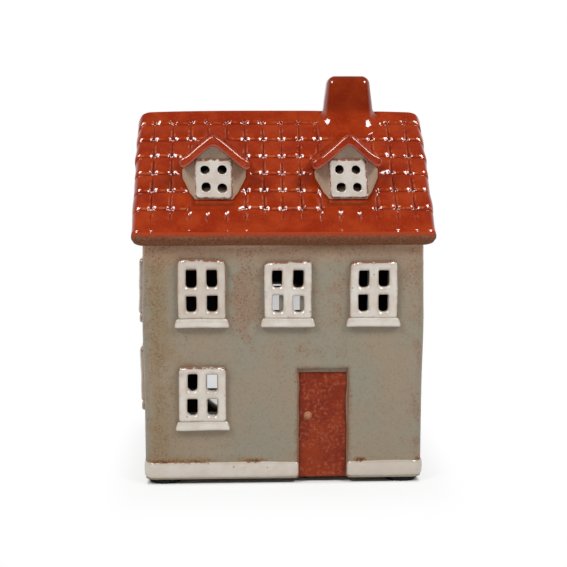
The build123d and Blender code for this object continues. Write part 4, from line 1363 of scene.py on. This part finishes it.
# Floor slab, pads and tealight
def bare_clay():
    """Unglazed stoneware: matt buff clay with brown and dark grains."""
    clay = Glaze("bare_stoneware", IOR=1.4)
    colour = clay.mix(clay.ramp(clay.cloud(8.0, 4.0), 0.35, 0.65), tone(150, 122, 96), tone(132, 104, 80))
    colour = clay.mix(clay.ramp(clay.cells(1.9), 0.06, 0.16, 0.6, 0.0), colour, tone(84, 62, 46))
    rough = clay.ramp(clay.cloud(2.0, 3.0), 0.3, 0.7, 0.7, 0.88)
    return clay.done(Base_Color=colour, Roughness=rough, Normal=clay.bumps(clay.cloud(0.9, 4.0), 0.12, 0.7))


def black_rubber():
    """Matt black rubber with a fine moulded grain."""
    rubber = Glaze("black_rubber", IOR=1.4)
    colour = rubber.mix(rubber.ramp(rubber.cloud(3.0, 3.0), 0.35, 0.65), tone(14, 14, 14), tone(26, 25, 24))
    rough = rubber.ramp(rubber.cloud(1.2, 2.0), 0.3, 0.7, 0.68, 0.85)
    grain = rubber.bumps(rubber.cloud(0.5, 2.0), 0.04, 0.6)
    return rubber.done(Base_Color=colour, Roughness=rough, Normal=grain)


def pressed_metal(name, low, high, grain):
    """Thin drawn metal: bright, with fine streaks along the draw and slight dents."""
    metal = Glaze(name, Metallic=1.0)
    streaks = metal.cloud(1.4, 4.0, 0.6, (1.0, 1.0, grain))
    colour = metal.mix(metal.ramp(streaks, 0.35, 0.65), low, high)
    rough = metal.ramp(streaks, 0.3, 0.7, 0.24, 0.38)
    dents = metal.bumps(metal.cloud(3.0, 2.0), 0.08, 0.5)
    return metal.done(Base_Color=colour, Roughness=rough, Normal=dents)


def paraffin():
    """White candle wax: light passes a little way in, and the poured surface has faint bloom and ripples."""
    wax = Glaze("white_paraffin", IOR=1.44, Subsurface_Weight=0.35, Subsurface_Scale=0.003)
    wax.shader.inputs["Subsurface Radius"].default_value = (1.0, 0.85, 0.65)
    colour = wax.mix(wax.ramp(wax.cloud(5.0, 4.0), 0.35, 0.65), tone(240, 235, 222), tone(229, 222, 206))
    rough = wax.ramp(wax.cloud(2.5, 3.0), 0.3, 0.7, 0.34, 0.5)
    return wax.done(Base_Color=colour, Roughness=rough, Normal=wax.bumps(wax.cloud(2.2, 3.0), 0.07, 0.6))


def cotton():
    """Waxed cotton: cream threads, with painted shade darkening the gaps between them."""
    thread = Glaze("waxed_cotton", IOR=1.45)
    # Painted shade in the gaps between the strands.
    colour = thread.mix(thread.ramp(thread.mark("gap"), 0.2, 0.9), tone(226, 218, 200), tone(158, 142, 116))
    colour = thread.mix(thread.ramp(thread.cloud(0.4, 3.0), 0.5, 0.7, 0.0, 0.4), colour, tone(198, 184, 158))
    rough = thread.ramp(thread.cloud(0.6, 2.0), 0.3, 0.7, 0.5, 0.7)
    grain = thread.bumps(thread.cloud(0.25, 3.0), 0.04, 0.6)
    return thread.done(Base_Color=colour, Roughness=rough, Normal=grain)


CUP_WALL = 0.5
FLUTES = 56
WAX_RADIUS = 18.35
WAX_TOP = 21.2
WICK_LOW = 9.2
WICK_TOP = 27.2
PAD_RADIUS = 7.0
PAD_SPOTS = {
    "front_left": (-48.8, -33.0),
    "front_right": (48.8, -33.0),
    "rear_left": (-48.8, 33.0),
    "rear_right": (48.8, 33.0),
}


def foot_pieces():
    """The floor slab is a rounded loop with soft rims; each pad is a dished disc turned round its middle."""
    loop = rounded_loop(HALF_WIDTH - WALL + 0.2, HALF_DEPTH - WALL + 0.2, 1.2, 5)
    slab, faces = soft_bar(loop, (FLOOR_TOP - FOOT) / 2, 0.7)
    slab = slab + (0.0, 0.0, (FLOOR_TOP + FOOT) / 2)
    piece("floor_clay", slab, faces, bare_clay(), ["base_slab"])
    rubber = black_rubber()
    swing = np.linspace(0.0, pi / 2, 6)
    foot = np.stack([PAD_RADIUS - 0.6 + 0.6 * np.sin(swing), 0.6 - 0.6 * np.cos(swing)], -1)
    head = np.stack([PAD_RADIUS - 0.4 + 0.4 * np.cos(swing), FOOT - 0.35 + 0.4 * np.sin(swing)], -1)
    inner = np.array([(0.0, 0.25), (2.0, 0.24), (4.0, 0.18), (5.4, 0.05)])
    profile = np.concatenate([inner, foot, head, [(4.0, FOOT + 0.05), (0.0, FOOT + 0.05)]])
    for place, (x, y) in PAD_SPOTS.items():
        skin, faces = turned(profile, 56)
        piece(place + "_foot", skin.reshape(-1, 3) + (x, y, 0.0), faces, rubber, [place + "_pad"])


CUP_PROFILE = (
    (0.0, 0.35), (14.5, 0.3), (16.0, 0.0), (17.4, 0.0), (18.3, 0.25), (18.75, 0.8), (18.8, 1.6),
    (18.82, 4.0), (18.84, 8.0), (18.86, 12.0), (18.86, 14.8), (18.92, 15.2), (19.0, 15.5), (18.98, 15.8),
    (18.85, 16.0), (18.65, 15.95), (18.54, 15.7), (18.5, 15.2), (18.5, 12.0), (18.48, 8.0), (18.46, 4.0),
    (18.44, 1.7), (18.2, 1.0), (17.4, 0.55), (16.0, 0.5), (14.5, 0.5), (0.0, 0.5),
)
CLIP_PROFILE = (
    (0.0, 0.0), (5.9, 0.0), (6.35, 0.08), (6.5, 0.25), (6.35, 0.44), (5.9, 0.5), (2.6, 0.52), (1.9, 0.75),
    (1.55, 1.3), (1.48, 2.4), (1.5, 3.6), (1.42, 3.9), (1.2, 4.0), (0.9, 3.9), (0.0, 3.8),
)


def tealight_pieces():
    """Turned cup, wax and sustainer, and a wick of three strands twisted round its axis."""
    cup = np.array(CUP_PROFILE)
    skin, faces = turned(cup, 6 * FLUTES)
    angle = np.arctan2(skin[..., 1], skin[..., 0])
    deep = eased(1.2, 3.0, cup[:, 1]) * eased(15.0, 13.6, cup[:, 1])
    draw = 1.0 - 0.0075 * deep[:, None] * (0.5 - 0.5 * np.cos(FLUTES * angle))
    skin[..., :2] *= draw[..., None]
    seat = np.array([0.0, 0.0, FLOOR_TOP])
    metal = pressed_metal("drawn_aluminium", (0.74, 0.74, 0.76, 1.0), (0.84, 0.84, 0.85, 1.0), 0.12)
    cup = skin.reshape(-1, 3) + seat
    piece("tealight_tin", cup, faces, metal, ["tealight_cup"], body="tealight")

    edge = np.array([0.0, 0.05, 0.15, 0.35, 0.7, 1.2, 2.0, 3.2, 5.0, 8.0, 11.0, 14.0, 16.0, WAX_RADIUS - 0.9])
    radius = np.concatenate([WAX_RADIUS - edge, [0.72]])
    rise = 0.55 * np.exp(-edge / 0.8) + 0.9 * np.exp(-(WAX_RADIUS - 0.7 - edge) / 0.8) - 0.25
    top = np.stack([radius, np.concatenate([WAX_TOP + rise, [WAX_TOP + 0.6]])], -1)
    top[-2:, 0] = (0.95, 0.72)
    low = FLOOR_TOP + CUP_WALL
    side = [(0.0, low + 0.6), (16.0, low + 0.6), (17.6, low + 0.9)]
    side += [(WAX_RADIUS - 0.1, low + 1.6), (WAX_RADIUS, low + 5.0)]
    wax = np.concatenate([side, top, [(0.0, WAX_TOP + 0.3)]])
    skin, faces = turned(wax, 96)
    skin[..., 2] += np.where(skin[..., 2] > WAX_TOP - 1.0, hand_wobble(skin[..., :2], 81, 9.0, 0.05), 0.0)
    piece("tealight_candle", skin.reshape(-1, 3), faces, paraffin(), ["tealight_wax"], body="tealight")

    disc = np.array(CLIP_PROFILE)
    skin, faces = turned(disc, 64)
    metal = pressed_metal("tinned_steel", (0.52, 0.52, 0.53, 1.0), (0.64, 0.64, 0.64, 1.0), 1.0)
    clip = skin.reshape(-1, 3) + (0.0, 0.0, low)
    piece("wick_clip", clip, faces, metal, ["wick_sustainer"], body="tealight")

    way = np.linspace(0.0, 1.0, 90)
    around = np.linspace(0.0, 2.0 * pi, 36, endpoint=False)
    height, turn = np.meshgrid(WICK_LOW + way * (WICK_TOP - WICK_LOW), around, indexing="ij")
    strand = np.abs(np.cos(1.5 * (turn - height * 1.9)))
    end = np.sqrt(np.clip(1.0 - ((way - 0.975) / 0.025).clip(0.0, 0.999) ** 2, 0.0, 1.0))
    girth = (0.5 + 0.2 * strand) * end[:, None]
    lean = 0.35 * eased(WAX_TOP, WICK_TOP, height) ** 2
    cord = np.stack([girth * np.cos(turn) + lean, girth * np.sin(turn), height], -1)
    faces = tube_faces(*cord.shape[:2])
    # gap marks the painted shade between the strands.
    cord, marks = cord.reshape(-1, 3), {"gap": 1.0 - strand}
    piece("tealight_thread", cord, faces, cotton(), ["tealight_wick"], marks, body="tealight")


foot_pieces()
tealight_pieces()


# Stage, light and camera
FLOOR_HALF = 6.0
FOOTPRINT = (0.0555, 0.0395, 0.0)
LAMPS = {"left": -46.0, "right": 46.0}
LAMP_RISE = 42.0
LAMP_FAR = 0.8
LAMP_SIZE = 0.28
LAMP_POWER = 3.3
LAMP_AIM = (0.0, 0.0, 0.085)
VIEW_LENS = 75.53
VIEW_TURN = -2.416
VIEW_RISE = 7.607
VIEW_FAR = 0.52
VIEW_AIM = (1.51, 0.0, 77.48)


def seen_rays(tree, back, low, high):
    """1 for rays from the camera, and for rays off a gloss or through glass that end behind the house.

    back is the way backwards, which the second kind has from low to high of.
    """
    ray = tree.nodes.new("ShaderNodeLightPath").outputs
    behind = ramp(tree, back, low, high, curve="LINEAR")
    thrown = sums(tree, "MAXIMUM", ray["Is Glossy Ray"], ray["Is Transmission Ray"])
    return sums(tree, "MAXIMUM", sums(tree, "MULTIPLY", thrown, behind), ray["Is Camera Ray"])


def white_sweep():
    """White cloth, seen by the camera as plain white but for a soft shade by the house and behind it."""
    white = bpy.data.materials.new("white_sweep")
    white.use_nodes = True
    tree = white.node_tree
    tree.nodes.remove(tree.nodes["Principled BSDF"])
    cloth = wire(tree, "ShaderNodeBsdfDiffuse", {"Color": (0.86, 0.86, 0.86, 1.0)}).outputs[0]
    glow = wire(tree, "ShaderNodeEmission", {"Color": (1.0, 1.0, 1.0, 1.0), "Strength": 1.0}).outputs[0]
    spot = tree.nodes.new("ShaderNodeTexCoord").outputs["Object"]
    way = wire(tree, "ShaderNodeSeparateXYZ", {0: spot}).outputs
    away = wire(tree, "ShaderNodeVectorMath", {0: spot}, operation="ABSOLUTE").outputs["Vector"]
    steps = (("SUBTRACT", FOOTPRINT), ("MAXIMUM", (0.0, 0.0, 0.0)), ("MULTIPLY", (2.6, 1.0, 1.0)))
    for operation, value in steps:
        away = wire(tree, "ShaderNodeVectorMath", {0: away, 1: value}, operation=operation).outputs["Vector"]
    far = wire(tree, "ShaderNodeVectorMath", {0: away}, operation="LENGTH").outputs["Value"]
    share = seen_rays(tree, way["Y"], -0.1, 0.3)
    for reach, nearest in ((0.0035, 0.0), (0.055, 0.72)):
        share = sums(tree, "MULTIPLY", share, ramp(tree, far, 0.0, reach, nearest))
    flank = wire(tree, "ShaderNodeMath", {0: way["X"]}, operation="ABSOLUTE").outputs[0]
    shade = sums(tree, "MULTIPLY", ramp(tree, flank, 0.05, 0.066, 1.0, 0.0), 0.88)
    shade = sums(tree, "MULTIPLY", ramp(tree, way["Y"], 0.03, 0.07), shade)
    shade = sums(tree, "MULTIPLY", ramp(tree, way["Y"], 0.5, 0.75, 1.0, 0.0), shade)
    share = sums(tree, "MULTIPLY", share, sums(tree, "SUBTRACT", 1.0, shade))
    blend = wire(tree, "ShaderNodeMixShader", {0: share, 1: cloth, 2: glow}).outputs[0]
    tree.links.new(blend, tree.nodes["Material Output"].inputs["Surface"])
    return white


def soft_room():
    """A white room: bright low down where the camera sees it, dim as a light, and dimmest in a gloss."""
    world = bpy.data.worlds.new("studio")
    world.use_nodes = True
    tree = world.node_tree
    soft = tree.nodes["Background"]
    soft.inputs["Color"].default_value = (1.0, 1.0, 1.0, 1.0)
    aim = tree.nodes.new("ShaderNodeTexCoord").outputs["Generated"]
    way = wire(tree, "ShaderNodeSeparateXYZ", {0: aim}).outputs
    height = ramp(tree, way["Z"], 0.25, 0.75, 1.0, 0.1, "LINEAR")
    rear = ramp(tree, way["Y"], 0.1, 0.7, 0.22, 0.6, "LINEAR")
    gloss = tree.nodes.new("ShaderNodeLightPath").outputs["Is Glossy Ray"]
    room = ramp(tree, gloss, 0.0, 1.0, rear, 0.05, "LINEAR")
    seen = seen_rays(tree, way["Y"], -0.3, 0.3)
    tree.links.new(ramp(tree, seen, 0.0, 1.0, room, height, "LINEAR"), soft.inputs["Strength"])
    return world


def set_off(made, aim, azimuth, elevation, far):
    """Puts a lamp or camera at a distance from a point, turned towards it."""
    turn, rise = radians(azimuth), radians(elevation)
    way = Vector((sin(turn) * cos(rise), -cos(turn) * cos(rise), sin(rise)))
    made.location = aim + way * far
    made.rotation_euler = (-way).to_track_quat("-Z", "Y").to_euler()
    bpy.context.scene.collection.objects.link(made)


def studio():
    """White sweep, two soft boxes high at the left and right of the front, and the photograph's viewpoint."""
    scene = bpy.context.scene
    floor_mesh = bpy.data.meshes.new("white_table")
    rim = FLOOR_HALF
    corners = [(-rim, -rim, 0), (rim, -rim, 0), (rim, rim, 0), (-rim, rim, 0)]
    floor_mesh.from_pydata(corners, [], [(0, 1, 2, 3)])
    table = bpy.data.objects.new("white_table", floor_mesh)
    scene.collection.objects.link(table)
    floor_mesh.materials.append(white_sweep())
    scene.world = soft_room()
    for side, azimuth in LAMPS.items():
        lamp = bpy.data.lights.new(side + "_soft_box", "AREA")
        lamp.shape = "SQUARE"
        lamp.size = LAMP_SIZE
        lamp.energy = LAMP_POWER
        box = bpy.data.objects.new(side + "_soft_box", lamp)
        set_off(box, Vector(LAMP_AIM), azimuth, LAMP_RISE, LAMP_FAR)
    lens = bpy.data.cameras.new("viewpoint")
    lens.lens = VIEW_LENS
    lens.sensor_width = 36.0
    camera = bpy.data.objects.new("viewpoint", lens)
    set_off(camera, Vector(VIEW_AIM) * MM, VIEW_TURN, VIEW_RISE, VIEW_FAR)
    scene.camera = camera
    scene.view_settings.view_transform = "Standard"


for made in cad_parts.values():
    made.data.materials.clear()
    made.data.materials.append(grey_wall)
studio()
